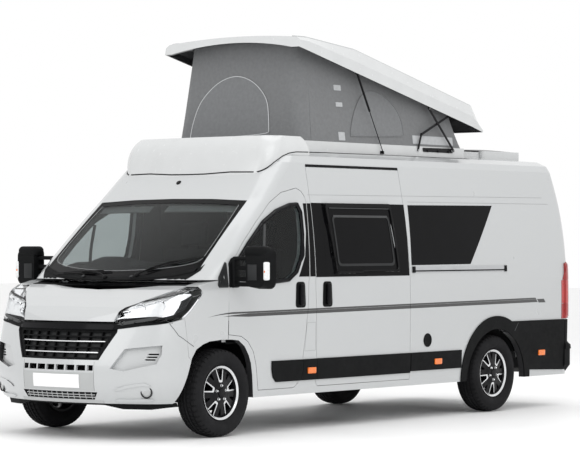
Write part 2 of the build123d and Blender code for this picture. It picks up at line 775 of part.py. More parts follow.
# Cladding strips: low x, high x, low z, high z
CLADDING = [(982, 1240, 426, 607), (-398, 978, 426, 608), (-1215, -410, 440, 608)]
REAR_PANEL = [(-2060, 389), (-2990, 356), (-2990, 855), (-2060, 855)]
with BuildPart() as side_cladding:
    for low_x, high_x, low_z, high_z in CLADDING:
        add(block((low_x, -FAR, low_z), (high_x, FAR, high_z)))
    add(side_prism(FRONT_DOOR, grow=GAP / 2), mode=Mode.SUBTRACT)
    with BuildSketch(Plane.XZ):
        with Locations((REAR_ARCH[0], 330)):
            Circle(582)
    extrude(amount=FAR, both=True)
    add(side_prism(REAR_PANEL))
    with Locations((REAR_ARCH[0], 0, REAR_ARCH[1])):
        Cylinder(REAR_ARCH[2], 3 * FAR, rotation=(90, 0, 0), mode=Mode.SUBTRACT)
    add(block((-FAR, -FAR, 0), (FAR, FAR, 300)), mode=Mode.SUBTRACT)
    add(form([LOWER_FORM[0], LOWER_FORM[1], LOWER_FORM[2]], -CLAD), mode=Mode.INTERSECT)
    add(form(LOWER_FORM, 0), mode=Mode.SUBTRACT)
    add(block((-FAR, -900, 0), (FAR, 900, FAR)), mode=Mode.SUBTRACT)
    add(block((-FAR, -FAR, 0), (-2990, FAR, FAR)), mode=Mode.SUBTRACT)
write(side_cladding.part, "side_cladding")

REAR_BUMPER_FORM = [
    (330, 990, 2185, 4, 6, -3150, 120),
    (400, 1034, 2185, 4, 6, TAIL_X, 130),
    (590, 1036, 2185, 4, 6, TAIL_X, 130),
    (630, 1026, 2185, 4, 6, -3140, 110),
]
with BuildPart() as rear_bumper:
    add(form(REAR_BUMPER_FORM, ruled=True))
    add(form(REAR_BUMPER_FORM, 60, ruled=True), mode=Mode.SUBTRACT)
    add(block((-2992, -FAR, 0), (FAR, FAR, FAR)), mode=Mode.SUBTRACT)
    add(form(LOWER_FORM, -FIT), mode=Mode.SUBTRACT)
write(rear_bumper.part, "rear_bumper")

with BuildPart() as tail_lamps:
    add(shell(LOWER_FORM, -16, -FIT))
    add(shell(GLASS_FORM, -16, -FIT))
    add(block((-FAR, -FAR, 866), (-2996, FAR, 1408)), mode=Mode.INTERSECT)
    add(block((-FAR, -930, 0), (0, 930, FAR)), mode=Mode.SUBTRACT)
write(tail_lamps.part, "tail_lamps")

# ---- Front door fittings: mirror, arm, handle and cladding strip
DOOR_CLADDING = [(1100, 426), (1540, 426), (1584, 470), (1602, 540), (1602, 607), (1100, 607)]
for side, hand in ((1, "left"), (-1, "right")):
    low_y, high_y = sorted((side * 1010, side * 1320))
    with BuildPart() as fittings:
        add(side_prism(DOOR_CLADDING, min(0, side * FAR), max(0, side * FAR)))
        add(side_prism(FRONT_DOOR, grow=-GAP / 2), mode=Mode.INTERSECT)
        add(shell(LOWER_FORM, -CLAD, 0), mode=Mode.INTERSECT)
        with BuildSketch(Plane.YZ.offset(2065)):
            with Locations((side * 1325, 1400)):
                RectangleRounded(235, 345, 60)
        with BuildSketch(Plane.YZ.offset(2185)):
            with Locations((side * 1318, 1398)):
                RectangleRounded(200, 310, 60)
        loft()
        for arm_z in (1290, 1385):
            low_y, high_y = sorted((side * 1026, side * 1215))
            add(block((2085, low_y, arm_z), (2135, high_y, arm_z + 34)))
    write(fittings.part, f"front_door_fittings_{hand}")

# ---- Floor, bulkhead, cab
BOX_R = 505.0
SHEET = 18.0
HOUSING_X = 1792.0
HOUSING_TOP = 782.0
FLOOR_TOP = FLOOR_Z + FLOOR_THICK
SEAT_FOOT_Z = 620.0
DRIVER_Y = -400.0
FOOT_Z = FLOOR_TOP + 6
with BuildPart() as bulkhead_form:
    add(block((2110, -935, HOUSING_TOP), (2160, 935, 1290)))
    add(block((2110, -589, FLOOR_TOP), (2160, 589, HOUSING_TOP)))

with BuildPart() as housing_form:
    for side in (1, -1):
        low_y, high_y = sorted((side * (590 - SHEET), side * 935))
        add(block((HOUSING_X - SHEET, low_y, FLOOR_TOP), (HOUSING_X, high_y, HOUSING_TOP)))
        add(block((HOUSING_X - SHEET, low_y, HOUSING_TOP - SHEET), (2109, high_y, HOUSING_TOP)))
        low_y, high_y = sorted((side * (590 - SHEET), side * 590))
        add(block((HOUSING_X - SHEET, low_y, FLOOR_TOP), (2109, high_y, HOUSING_TOP)))
        with BuildPart(mode=Mode.PRIVATE) as wheel_box:
            low_y, high_y = sorted((side * (630 - SHEET), side * 935))
            add(cylinder_y(REAR_ARCH[0], REAR_ARCH[1], BOX_R + SHEET, low_y, high_y))
            low_y, high_y = sorted((side * 630, side * FAR))
            add(cylinder_y(REAR_ARCH[0], REAR_ARCH[1], BOX_R, low_y, high_y), mode=Mode.SUBTRACT)
            add(block((-FAR, -FAR, -FAR), (FAR, FAR, FLOOR_TOP)), mode=Mode.SUBTRACT)
        add(wheel_box.part)

# The floor carries a low step under everything that stands on it
foot_band = block((-FAR, -FAR, 0), (FAR, FAR, FOOT_Z))
with BuildPart() as floor_pan:
    add(block((-3040, -935, FLOOR_Z), (2160, 935, FLOOR_TOP)))
    for side in (1, -1):
        low_y, high_y = sorted((side * 590, side * FAR))
        add(block((HOUSING_X, low_y, 0), (FAR, high_y, 1000)), mode=Mode.SUBTRACT)
        low_y, high_y = sorted((side * 630, side * FAR))
        add(block((-2260, low_y, 0), (-1343, high_y, 1000)), mode=Mode.SUBTRACT)
    for seat_y in (DRIVER_Y, -DRIVER_Y):
        add(block((1120, seat_y - 200, FLOOR_Z), (1540, seat_y + 200, SEAT_FOOT_Z)))
    for standing in (bulkhead_form.part, housing_form.part):
        with BuildPart(mode=Mode.PRIVATE) as foot:
            add(standing)
            add(foot_band, mode=Mode.INTERSECT)
        add(foot.part)
write(floor_pan.part, "floor_pan")
for standing, name in ((bulkhead_form.part, "bulkhead"), (housing_form.part, "wheel_housings")):
    with BuildPart() as upper:
        add(standing)
        add(foot_band, mode=Mode.SUBTRACT)
    write(upper.part, name)

with BuildPart() as dashboard:
    with BuildSketch(Plane.XZ.offset(930)):
        with BuildLine():
            Polyline(
                (2108, 800),
                (2108, 1270),
                (2040, 1275),
                (1830, 1190),
                (1800, 1120),
                (1880, 900),
                (1960, 800),
                close=True,
            )
        make_face()
    extrude(amount=-1860)
write(dashboard.part, "dashboard")

with BuildPart() as steering_wheel:
    lean = (-cos(radians(62)), 0, sin(radians(62)))
    hub = Plane(origin=(1740, DRIVER_Y, 1180), x_dir=(0, 1, 0), z_dir=lean)
    with BuildSketch(Plane(origin=hub.origin + hub.x_dir * 190, x_dir=hub.x_dir, z_dir=hub.y_dir)):
        Circle(15)
    revolve(axis=Axis(hub.origin, hub.z_dir))
    with BuildSketch(hub):
        Circle(60)
        Rectangle(372, 40)
        with Locations((0, -95)):
            Rectangle(40, 186)
    extrude(amount=12, both=True)
    with BuildSketch(hub):
        Circle(30)
    extrude(amount=-120)
    add(dashboard.part, mode=Mode.SUBTRACT)
write(steering_wheel.part, "steering_wheel")

# Cab seat side outline as X, Z points
SEAT_SIDE = [
    (1560, 860),
    (1590, 960),
    (1560, 990),
    (1190, 960),
    (1060, 1500),
    (1010, 1560),
    (960, 1540),
    (1000, 1240),
    (1060, 860),
]
HEADREST_SIDE = [(1000, 1590), (940, 1590), (905, 1780), (940, 1800), (975, 1790)]
with BuildPart() as cab_seats:
    for seat_y in (DRIVER_Y, -DRIVER_Y):
        add(block((1120, seat_y - 200, SEAT_FOOT_Z), (1540, seat_y + 200, 862)))
        add(side_prism(SEAT_SIDE, seat_y - 250, seat_y + 250))
        add(side_prism(HEADREST_SIDE, seat_y - 130, seat_y + 130))
        for post in (-60, 60):
            add(block((955, seat_y + post - 8, 1530), (971, seat_y + post + 8, 1600)))
write(cab_seats.part, "cab_seats")

# ---- Underside
KING_Y = 885.0
with BuildPart() as front_subframe:
    add(block((2080, -400, 270), (2390, 400, 340)))
    for side in (1, -1):
        arm = [(2120, side * 398), (2360, side * 398), (2270, side * 745), (2200, side * 745)]
        add(plan_prism(arm, 275, 315))
        low_y, high_y = sorted((side * 545, side * 585))
        add(block((1700, low_y, 420), (2180, high_y, FLOOR_Z)))
    for side in (1, -1):
        with BuildSketch(Plane.XY.offset(610)):
            with Locations((FRONT_AXLE_X, side * 690)):
                Circle(62)
        extrude(amount=320)
        low_y, high_y = sorted((side * 390, side * 760))
        add(block((2166, low_y, 925), (2340, high_y, 965)))
        low_y, high_y = sorted((side * 390, side * 430))
        add(block((2166, low_y, 330), (2300, high_y, 965)))
write(front_subframe.part, "front_subframe")

with BuildPart() as engine_block:
    add(block((2420, -330, 380), (2860, 330, 900)))
write(engine_block.part, "engine_block")

HUB_R = 32.0
HUB_FIT = 0.08
with BuildPart() as rear_axle:
    with BuildSketch(Plane.XZ.offset(-700)):
        with Locations((REAR_AXLE_X, AXLE_Z)):
            Circle(42)
    extrude(amount=1400)
    for side in (1, -1):
        low_y, high_y = sorted((side * 700, side * 760))
        add(cylinder_y(REAR_AXLE_X, AXLE_Z, 120, low_y, high_y))
        low_y, high_y = sorted((side * 760, side * 880))
        add(cylinder_y(REAR_AXLE_X, AXLE_Z, HUB_R, low_y, high_y))
        leaf = [
            (-2560, 470),
            (-2560, 446),
            (REAR_AXLE_X, AXLE_Z + 40),
            (-1130, 440),
            (-1130, 464),
            (REAR_AXLE_X, AXLE_Z + 66),
        ]
        add(side_prism(leaf, side * 560 - 35, side * 560 + 35))
        for hanger_x in (-2560, -1130):
            add(block((hanger_x - 30, side * 560 - 40, 440), (hanger_x + 30, side * 560 + 40, FLOOR_Z)))
write(rear_axle.part, "rear_axle")

with BuildPart() as fuel_tank:
    add(block((-250, 120, 290), (750, 680, 480)))
    fillet(fuel_tank.edges().filter_by(Axis.X), 40)
    add(block((-100, 200, 475), (600, 600, FLOOR_Z)))
write(fuel_tank.part, "fuel_tank")

# ---- Wheels
TYRE_HALF = 112.0
TYRE_SEAT = 212.0
BEAD = 79.0
HUB_FACE = 52.0
RIM_LIP = 88.0


def wheel_plane(x, y, side):
    """A plane through the axle whose local x points outboard and local y up."""
    return Plane(origin=(x, y, AXLE_Z), x_dir=(0, side, 0), z_dir=(side, 0, 0))


WHEELS = [
    ("front_left", FRONT_AXLE_X, FRONT_WHEEL_Y, 1),
    ("front_right", FRONT_AXLE_X, -FRONT_WHEEL_Y, -1),
    ("rear_left", REAR_AXLE_X, REAR_WHEEL_Y, 1),
    ("rear_right", REAR_AXLE_X, -REAR_WHEEL_Y, -1),
]
for place, x, y, side in WHEELS:
    section = wheel_plane(x, y, side)
    spin = Axis((x, y, AXLE_Z), (0, 1, 0))
    with BuildPart() as tyre:
        with BuildSketch(section):
            with BuildLine():
                Line((-BEAD, TYRE_SEAT), (BEAD, TYRE_SEAT))
                Line((BEAD, TYRE_SEAT), (BEAD, 229))
                ThreePointArc((BEAD, 229), (TYRE_HALF, 292), (94, 348))
                ThreePointArc((94, 348), (0, AXLE_Z), (-94, 348))
                ThreePointArc((-94, 348), (-TYRE_HALF, 292), (-BEAD, 229))
                Line((-BEAD, 229), (-BEAD, TYRE_SEAT))
            make_face()
        revolve(axis=spin)
    write(tyre.part, f"tyre_{place}")
    face = Plane(origin=(x, y, AXLE_Z), x_dir=(1, 0, 0), z_dir=(0, side, 0))
    with BuildPart() as rim:
        with BuildSketch(section):
            with BuildLine():
                Polyline(
                    (-RIM_LIP, TYRE_SEAT - 2),
                    (-RIM_LIP, 226),
                    (-RIM_LIP + 4, 226),
                    (-RIM_LIP + 8, TYRE_SEAT - 0.3),
                    (RIM_LIP - 8, TYRE_SEAT - 0.3),
                    (RIM_LIP - 4, 226),
                    (RIM_LIP, 226),
                    (RIM_LIP, 204),
                    (60, 196),
                    (-70, 196),
                    close=True,
                )
            make_face()
        revolve(axis=spin)
        with BuildSketch(face.offset(HUB_FACE)):
            Circle(200)
            Circle(HUB_R + HUB_FIT, mode=Mode.SUBTRACT)
            with PolarLocations(0, 5, start_angle=90 if x > 0 else 126):
                with BuildLine():
                    Polyline((88, -20), (184, -50), (190, 0), (184, 50), (88, 20), close=True)
                make_face(mode=Mode.SUBTRACT)
        extrude(amount=24)
        with BuildSketch(face.offset(-62)):
            Circle(75)
            Circle(HUB_R + HUB_FIT, mode=Mode.SUBTRACT)
        extrude(amount=158)
        with BuildSketch(face.offset(-62)):
            Circle(150)
            Circle(60, mode=Mode.SUBTRACT)
        extrude(amount=28)
    write(rim.part, f"rim_{place}")

for side, hand in ((1, "left"), (-1, "right")):
    wheel_y = side * FRONT_WHEEL_Y
    with BuildPart() as knuckle:
        low_y, high_y = sorted((side * 762, side * 802))
        add(block((FRONT_AXLE_X - 45, low_y, 230), (FRONT_AXLE_X + 45, high_y, 560)))
        add(cylinder_y(FRONT_AXLE_X, AXLE_Z, 75, low_y, high_y))
        low_y, high_y = sorted((side * 790, side * 930))
        add(cylinder_y(FRONT_AXLE_X, AXLE_Z, HUB_R, low_y, high_y))
    write(knuckle.part, f"knuckle_{hand}")
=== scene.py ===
"""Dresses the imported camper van: paint, trim, lamps, wheels, canvas, cab and studio."""

from math import atan2, cos, degrees, exp, pi, radians, sin

import bmesh
import bpy
from mathutils import Matrix, Vector
from mathutils.bvhtree import BVHTree


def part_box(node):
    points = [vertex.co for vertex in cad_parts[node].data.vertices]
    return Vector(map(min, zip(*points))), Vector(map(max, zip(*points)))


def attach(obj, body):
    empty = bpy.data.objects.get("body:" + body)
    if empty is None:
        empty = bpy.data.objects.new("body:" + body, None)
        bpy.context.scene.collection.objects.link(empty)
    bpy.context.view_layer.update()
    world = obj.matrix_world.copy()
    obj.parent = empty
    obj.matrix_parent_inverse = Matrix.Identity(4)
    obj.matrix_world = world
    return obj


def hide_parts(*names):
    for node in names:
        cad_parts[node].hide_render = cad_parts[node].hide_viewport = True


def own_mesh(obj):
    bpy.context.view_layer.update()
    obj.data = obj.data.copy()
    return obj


bl_info = {
    "name": "Camper Van Dressing",
    "version": (1, 0, 0),
    "blender": (4, 5, 0),
    "location": "3D View > Sidebar > Camper Van",
    "description": "Adds trim, lamps, wheels, canvas, cab and studio to a pop-top camper van",
    "category": "Object",
}

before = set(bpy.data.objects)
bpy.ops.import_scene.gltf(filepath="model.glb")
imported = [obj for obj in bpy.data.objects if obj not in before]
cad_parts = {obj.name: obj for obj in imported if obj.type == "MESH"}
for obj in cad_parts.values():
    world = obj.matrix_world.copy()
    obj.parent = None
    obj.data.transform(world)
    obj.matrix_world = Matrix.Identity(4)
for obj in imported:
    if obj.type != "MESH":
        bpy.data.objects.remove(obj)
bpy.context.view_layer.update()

HANDS = ((1, "left"), (-1, "right"))
AXLE_FRONT, AXLE_REAR, AXLE_Z = 2.2335, -1.8015, 0.366
WHEEL_PLACES = (
    ("front_left", AXLE_FRONT, 0.905, 1),
    ("front_right", AXLE_FRONT, -0.905, -1),
    ("rear_left", AXLE_REAR, 0.895, 1),
    ("rear_right", AXLE_REAR, -0.895, -1),
)
ORIGIN = (0, 0, 0)
# Directions to look along
FROM_FRONT, FROM_BEHIND = (-1, 0, 0), (1, 0, 0)
FROM_ABOVE, FROM_BELOW = (0, 0, -1), (0, 0, 1)


# ---- Sizes and colours that a user would change
class PaintSettings(bpy.types.PropertyGroup):
    body_colour: bpy.props.FloatVectorProperty(
        name="Body colour", description="Paint of the van's body", subtype="COLOR", size=3, min=0, max=1,
        default=(0.475, 0.487, 0.492),
    )
    stripe_colour: bpy.props.FloatVectorProperty(
        name="Stripe colour", description="Side stripe", subtype="COLOR", size=3, min=0, max=1,
        default=(0.008, 0.0085, 0.009),
    )
    stripe_width: bpy.props.FloatProperty(
        name="Stripe width", description="Width of the long side stripe", unit="LENGTH", default=0.0150,
    )
    stripe_height: bpy.props.FloatProperty(
        name="Stripe height", description="Height of the stripe at the middle of the van", unit="LENGTH", default=1.034,
    )


class TrimSettings(bpy.types.PropertyGroup):
    plastic_colour: bpy.props.FloatVectorProperty(
        name="Plastic colour", description="Unpainted cladding and bumpers", subtype="COLOR", size=3, min=0, max=1,
        default=(0.0055, 0.0058, 0.0062),
    )
    canvas_colour: bpy.props.FloatVectorProperty(
        name="Canvas colour", description="Pop-top canvas", subtype="COLOR", size=3, min=0, max=1,
        default=(0.15, 0.154, 0.158),
    )


class StudioSettings(bpy.types.PropertyGroup):
    floor_colour: bpy.props.FloatVectorProperty(
        name="Floor colour", description="Studio floor", subtype="COLOR", size=3, min=0, max=1,
        default=(0.90, 0.90, 0.90),
    )
    key_power: bpy.props.FloatProperty(
        name="Key light", description="Power of the large soft light", default=500.0, min=0,
    )


def object_mode():
    if bpy.context.object and bpy.context.object.mode != "OBJECT":
        bpy.ops.object.mode_set(mode="OBJECT")


def clear_selection():
    object_mode()
    bpy.ops.object.select_all(action="DESELECT")


def pick(piece):
    clear_selection()
    piece.select_set(True)
    bpy.context.view_layer.objects.active = piece


def named(name):
    """Names the primitive that has just been added."""
    piece = bpy.context.active_object
    piece.name = name
    piece.data.name = name
    return piece


def edit(piece, mode="FACE"):
    pick(piece)
    bpy.ops.object.mode_set(mode="EDIT")
    bpy.ops.mesh.select_mode(type=mode)


def select(piece, test, kind="faces"):
    """Selects the faces, edges or verts that pass test, in edit mode."""
    bpy.ops.mesh.select_all(action="DESELECT")
    mesh = bmesh.from_edit_mesh(piece.data)
    for item in getattr(mesh, kind):
        if test(item):
            item.select = True
    mesh.select_flush(True)
    bmesh.update_edit_mesh(piece.data)


def outward(piece):
    edit(piece)
    bpy.ops.mesh.select_all(action="SELECT")
    bpy.ops.mesh.remove_doubles(threshold=0.00001)
    bpy.ops.mesh.normals_make_consistent(inside=False)
    bpy.ops.object.mode_set(mode="OBJECT")


def apply_all(piece):
    pick(piece)
    for modifier in list(piece.modifiers):
        bpy.ops.object.modifier_apply(modifier=modifier.name)


def bevelled(piece, width, segments=2, angle=35):
    modifier = piece.modifiers.new("Edges", "BEVEL")
    modifier.width = width
    modifier.segments = segments
    modifier.limit_method = "ANGLE"
    modifier.angle_limit = radians(angle)
    apply_all(piece)


def settle(piece, body, finish, angle=32, instead_of=()):
    """Freezes a piece at the origin, smooths it, gives its finish and sets it on its body."""
    pick(piece)
    bpy.ops.object.transform_apply(location=True, rotation=True, scale=True)
    bpy.ops.object.shade_smooth_by_angle(angle=radians(angle))
    piece.data.materials.clear()
    piece.data.materials.append(finish)
    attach(piece, body)
    if instead_of:
        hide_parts(*instead_of)
    return piece


def block(name, low, high, bevel=0.0, segments=2):
    """A box between two corners, with softened edges."""
    clear_selection()
    centre = [(a + b) / 2 for a, b in zip(low, high)]
    bpy.ops.mesh.primitive_cube_add(size=1, location=centre, scale=[b - a for a, b in zip(low, high)])
    piece = named(name)
    bpy.ops.object.transform_apply(location=True, rotation=False, scale=True)
    if bevel:
        bevelled(piece, bevel, segments)
    return piece


def turned(name, rings, centre, axis="Y", count=48, side=1, caps=True):
    """A turned form: a circle extruded ring by ring, each ring a radius and a reach along the axis."""
    clear_selection()
    radius, reach = rings[0]
    fill = "NGON" if caps else "NOTHING"
    bpy.ops.mesh.primitive_circle_add(vertices=count, radius=radius, fill_type=fill, location=ORIGIN)
    piece = named(name)
    edit(piece, "EDGE")
    bpy.ops.mesh.select_all(action="SELECT")
    bpy.ops.transform.translate(value=(0, 0, reach))
    for next_radius, next_reach in rings[1:]:
        bpy.ops.mesh.extrude_region_move(TRANSFORM_OT_translate={"value": (0, 0, next_reach - reach)})
        if abs(next_radius - radius) > 1e-7:
            factor = next_radius / radius
            bpy.ops.transform.resize(value=(factor, factor, 1), center_override=(0, 0, next_reach))
        radius, reach = next_radius, next_reach
    bpy.ops.object.mode_set(mode="OBJECT")
    outward(piece)
    turn = {"Y": (radians(-90 * side), 0, 0), "X": (0, radians(90 * side), 0), "Z": (0, 0, 0)}[axis]
    piece.rotation_euler = turn
    piece.location = centre
    pick(piece)
    bpy.ops.object.transform_apply(location=True, rotation=True, scale=False)
    return piece


def cut_plate(name, points, thickness, corner=0.0):
    """A flat plate in the XY plane with the given outline, extruded up by thickness."""
    clear_selection()
    bpy.ops.mesh.primitive_circle_add(vertices=len(points), radius=1, fill_type="NGON", location=ORIGIN)
    piece = named(name)
    edit(piece, "VERT")
    mesh = bmesh.from_edit_mesh(piece.data)
    mesh.verts.ensure_lookup_table()
    starts = [vertex.co.copy() for vertex in mesh.verts]
    for index, (start, point) in enumerate(zip(starts, points)):
        bpy.ops.mesh.select_all(action="DESELECT")
        mesh = bmesh.from_edit_mesh(piece.data)
        mesh.verts.ensure_lookup_table()
        mesh.verts[index].select = True
        mesh.select_flush(True)
        bpy.ops.transform.translate(value=(point[0] - start.x, point[1] - start.y, 0))
    if corner:
        bpy.ops.mesh.select_all(action="SELECT")
        bpy.ops.mesh.bevel(offset=corner, segments=4, affect="VERTICES")
    bpy.ops.mesh.select_all(action="SELECT")
    bpy.ops.mesh.extrude_region_move(TRANSFORM_OT_translate={"value": (0, 0, thickness)})
    bpy.ops.object.mode_set(mode="OBJECT")
    outward(piece)
    return piece


def stand(piece, matrix):
    """Places a piece made flat in XY."""
    piece.matrix_world = matrix
    pick(piece)
    bpy.ops.object.transform_apply(location=True, rotation=True, scale=True)
    outward(piece)


def side_plate(name, points, y, depth):
    """A plate with an X, Z outline, standing on the plane y and reaching depth towards +Y."""
    piece = cut_plate(name, points, -depth)
    stand(piece, Matrix(((1, 0, 0, 0), (0, 0, -1, y), (0, 1, 0, 0), (0, 0, 0, 1))))
    return piece


def front_plate(name, points, x, depth):
    """A plate with a Y, Z outline, standing on the plane x and reaching depth towards +X."""
    piece = cut_plate(name, points, depth)
    stand(piece, Matrix(((0, 0, 1, x), (1, 0, 0, 0), (0, 1, 0, 0), (0, 0, 0, 1))))
    return piece


def copy_of(piece, name):
    copy = piece.copy()
    copy.data = piece.data.copy()
    copy.name = name
    copy.data.name = name
    bpy.context.scene.collection.objects.link(copy)
    copy.parent = None
    copy.matrix_world = Matrix.Identity(4)
    return copy


def joined(name, pieces):
    clear_selection()
    for piece in pieces:
        piece.select_set(True)
    bpy.context.view_layer.objects.active = pieces[0]
    bpy.ops.object.join()
    return named(name)


def oblong(x0, z0, x1, z1):
    """The four corners of an upright rectangle."""
    return [(x0, z0), (x1, z0), (x1, z1), (x0, z1)]


def sided(side, points):
    """An outline of Y, Z points, on the given side of the van."""
    return [(side * y, z) for y, z in points]


def rounded(points, radius, steps=4):
    """The outline with its corners rounded."""
    result = []
    count = len(points)
    for index, point in enumerate(points):
        here = Vector(point)
        before = Vector(points[index - 1]) - here
        after = Vector(points[(index + 1) % count]) - here
        reach = min(radius, before.length * 0.45, after.length * 0.45)
        start = here + before.normalized() * reach
        end = here + after.normalized() * reach
        for step in range(steps + 1):
            t = step / steps
            result.append(tuple(start * (1 - t) ** 2 + here * (2 * t * (1 - t)) + end * t**2))
    return result


def seen_from(direction, *nodes):
    """A tree of the given CAD nodes' faces, and the direction to look along."""
    points, faces = [], []
    for node in nodes:
        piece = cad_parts[node]
        start = len(points)
        points.extend(piece.matrix_world @ vertex.co for vertex in piece.data.vertices)
        faces.extend([start + index for index in face.vertices] for face in piece.data.polygons)
    return BVHTree.FromPolygons(points, faces), Vector(direction)


def from_side(side, *nodes):
    """The given nodes as seen from one side of the van."""
    return seen_from((0, -side, 0), *nodes)


def surface_of(view, a, b, proud=0.0):
    """The viewed nodes' point at X, Z from a side, at Y, Z from the front or behind, or at X, Y from above or below."""
    tree, direction = view
    if direction.y:
        start = Vector((a, -9 * direction.y, b))
    elif direction.x:
        start = Vector((-9 * direction.x, a, b))
    else:
        start = Vector((a, b, -9 * direction.z))
    hit, normal = tree.ray_cast(start, direction)[:2]
    if hit is None:
        hit = tree.find_nearest(start + direction * 8)[0]
        normal = -direction
    if normal.dot(direction) > 0:
        normal = -normal
    return hit + normal * proud


def surface(name, columns, rows, place):
    """A grid whose points are set by place(u, v)."""
    clear_selection()
    bpy.ops.mesh.primitive_grid_add(x_subdivisions=columns, y_subdivisions=rows, size=1, location=ORIGIN)
    piece = named(name)
    edit(piece, "VERT")
    mesh = bmesh.from_edit_mesh(piece.data)
    for vertex in mesh.verts:
        vertex.co = place(vertex.co.x + 0.5, vertex.co.y + 0.5)
    bmesh.update_edit_mesh(piece.data)
    outward(piece)
    return piece


def walled(piece, depth, bevel=0.0):
    """Thickens a sheet inwards, and softens its edges where bevel is set."""
    modifier = piece.modifiers.new("Wall", "SOLIDIFY")
    modifier.thickness = depth
    modifier.offset = -1
    apply_all(piece)
    outward(piece)
    if bevel:
        bevelled(piece, bevel, 2)
    return piece


def level(value, stops):
    """Straight-line reading of a table of value and result."""
    if value <= stops[0][0]:
        return stops[0][1]
    for (a, low), (b, high) in zip(stops, stops[1:]):
        if value <= b:
            return low + (high - low) * (value - a) / (b - a)
    return stops[-1][1]


def along(points, share, closed=True):
    """The point at a share of the length of a line through points."""
    ends = list(zip(points, points[1:] + points[:1] if closed else points[1:]))
    lengths = [(Vector(b) - Vector(a)).length for a, b in ends]
    left = share * sum(lengths)
    for (a, b), length in zip(ends, lengths):
        if left <= length + 1e-9:
            return Vector(a).lerp(Vector(b), min(1.0, left / length) if length else 0)
        left -= length
    return Vector(ends[-1][1])


def frame_ring(name, view, outer, inner, proud, depth, columns, bevel=0.0):
    """A flat-faced frame between two closed outlines, laid on the viewed surface and standing proud of it."""

    def place(u, v):
        return surface_of(view, *along(outer, u % 1).lerp(along(inner, u % 1), v), proud)

    return walled(surface(name, columns, 2, place), depth, bevel)


def strip_on(name, view, points, width, proud, depth, columns, taper=False):
    """A strip of even width laid along a line on the viewed surface."""

    def place(u, v):
        here = along(points, u, closed=False)
        ahead = along(points, min(1, u + 0.01), closed=False) - along(points, max(0, u - 0.01), closed=False)
        across = Vector((-ahead.y, ahead.x)).normalized()
        reach = width * (0.5 - v) * (min(1, 8 * u, 8 * (1 - u)) if taper else 1)
        return surface_of(view, *(here + across * reach), proud)

    return walled(surface(name, columns, 2, place), depth)


def pad_on(name, view, points, proud, depth, corner, bevel=0.0):
    """A small plate with the given outline, laid on the viewed surface."""
    outline = rounded(points, corner)
    count = len(outline)
    middle = sum((Vector(point) for point in outline), Vector((0, 0))) / count

    def place(u, v):
        rim = Vector(outline[round(u * count) % count])
        return surface_of(view, *middle.lerp(rim, max(v, 0.002)), proud)

    return walled(surface(name, count, 3, place), depth, bevel)


def film(name, view, quads, thickness, columns=24, rows=12):
    """A thin film on the viewed surface, made of four-cornered sheets: low start, low end, high end, high start."""
    pieces = []
    for quad in quads:
        a, b, c, d = (Vector(corner) for corner in quad)

        def place(u, v):
            return surface_of(view, *a.lerp(b, u).lerp(d.lerp(c, u), v), thickness)

        pieces.append(walled(surface("film", columns, rows, place), thickness))
    return joined(name, pieces) if len(pieces) > 1 else pieces[0]


def piped(name, points, radius):
    """A round piping along points."""
    clear_selection()
    bpy.ops.curve.primitive_nurbs_path_add(location=ORIGIN)
    piece = named(name)
    path = piece.data
    path.splines.clear()
    spline = path.splines.new("NURBS")
    spline.points.add(len(points) - 1)
    for target, point in zip(spline.points, points):
        target.co = (*point, 1)
    spline.order_u = 3
    spline.use_endpoint_u = True
    path.bevel_depth = radius
    path.bevel_resolution = 3
    path.resolution_u = 6
    path.use_fill_caps = True
    pick(piece)
    bpy.ops.object.convert(target="MESH")
    outward(piece)
    return piece


def smooth_outline(points, steps=3):
    """Adds points between the given ones, on a smooth curve through them."""
    result = []
    for index in range(len(points) - 1):
        a, b = Vector(points[max(index - 1, 0)]), Vector(points[index])
        c, d = Vector(points[index + 1]), Vector(points[min(index + 2, len(points) - 1)])
        for step in range(steps):
            t = step / steps
            result.append(tuple(
                0.5 * ((2 * b) + (c - a) * t + (2 * a - 5 * b + 4 * c - d) * t**2 + (3 * b - a - 3 * c + d) * t**3)
            ))
    result.append(tuple(points[-1]))
    return result


# ---- Finishes
def new_finish(name):
    finish = bpy.data.materials.new(name)
    finish.use_nodes = True
    nodes = finish.node_tree.nodes
    return finish, nodes, finish.node_tree.links, nodes["Principled BSDF"]


def noise(nodes, links, place, scale, detail=3.0, rough=0.5):
    texture = nodes.new("ShaderNodeTexNoise")
    texture.inputs["Scale"].default_value = scale
    texture.inputs["Detail"].default_value = detail
    texture.inputs["Roughness"].default_value = rough
    links.new(place, texture.inputs["Vector"])
    return texture.outputs["Fac"]


def ramp(nodes, links, value, stops):
    """Maps a value to colours: stops are position and colour."""
    node = nodes.new("ShaderNodeValToRGB")
    elements = node.color_ramp.elements
    while len(elements) < len(stops):
        elements.new(0.5)
    for element, (position, colour) in zip(elements, stops):
        element.position = position
        element.color = (*colour, 1)
    links.new(value, node.inputs["Fac"])
    return node.outputs["Color"]


def number(nodes, links, kind, first, second=None):
    """One step of arithmetic on sockets or plain numbers."""
    node = nodes.new("ShaderNodeMath")
    node.operation = kind
    for socket, value in zip(node.inputs, (first, second)):
        if value is None:
            continue
        if isinstance(value, (int, float)):
            socket.default_value = value
        else:
            links.new(value, socket)
    return node.outputs["Value"]


def blend(nodes, links, factor, first, colour):
    """Lays a colour over the first one where factor is 1."""
    mix = nodes.new("ShaderNodeMix")
    mix.data_type = "RGBA"
    links.new(factor, mix.inputs["Factor"])
    links.new(first, mix.inputs["A"])
    mix.inputs["B"].default_value = (*colour, 1)
    return mix.outputs["Result"]


def bump(nodes, links, shader, height, strength, distance):
    node = nodes.new("ShaderNodeBump")
    node.inputs["Strength"].default_value = strength
    node.inputs["Distance"].default_value = distance
    links.new(height, node.inputs["Height"])
    links.new(node.outputs["Normal"], shader.inputs["Normal"])


def shade(colour, factor):
    return tuple(min(1.0, channel * factor) for channel in colour[:3])


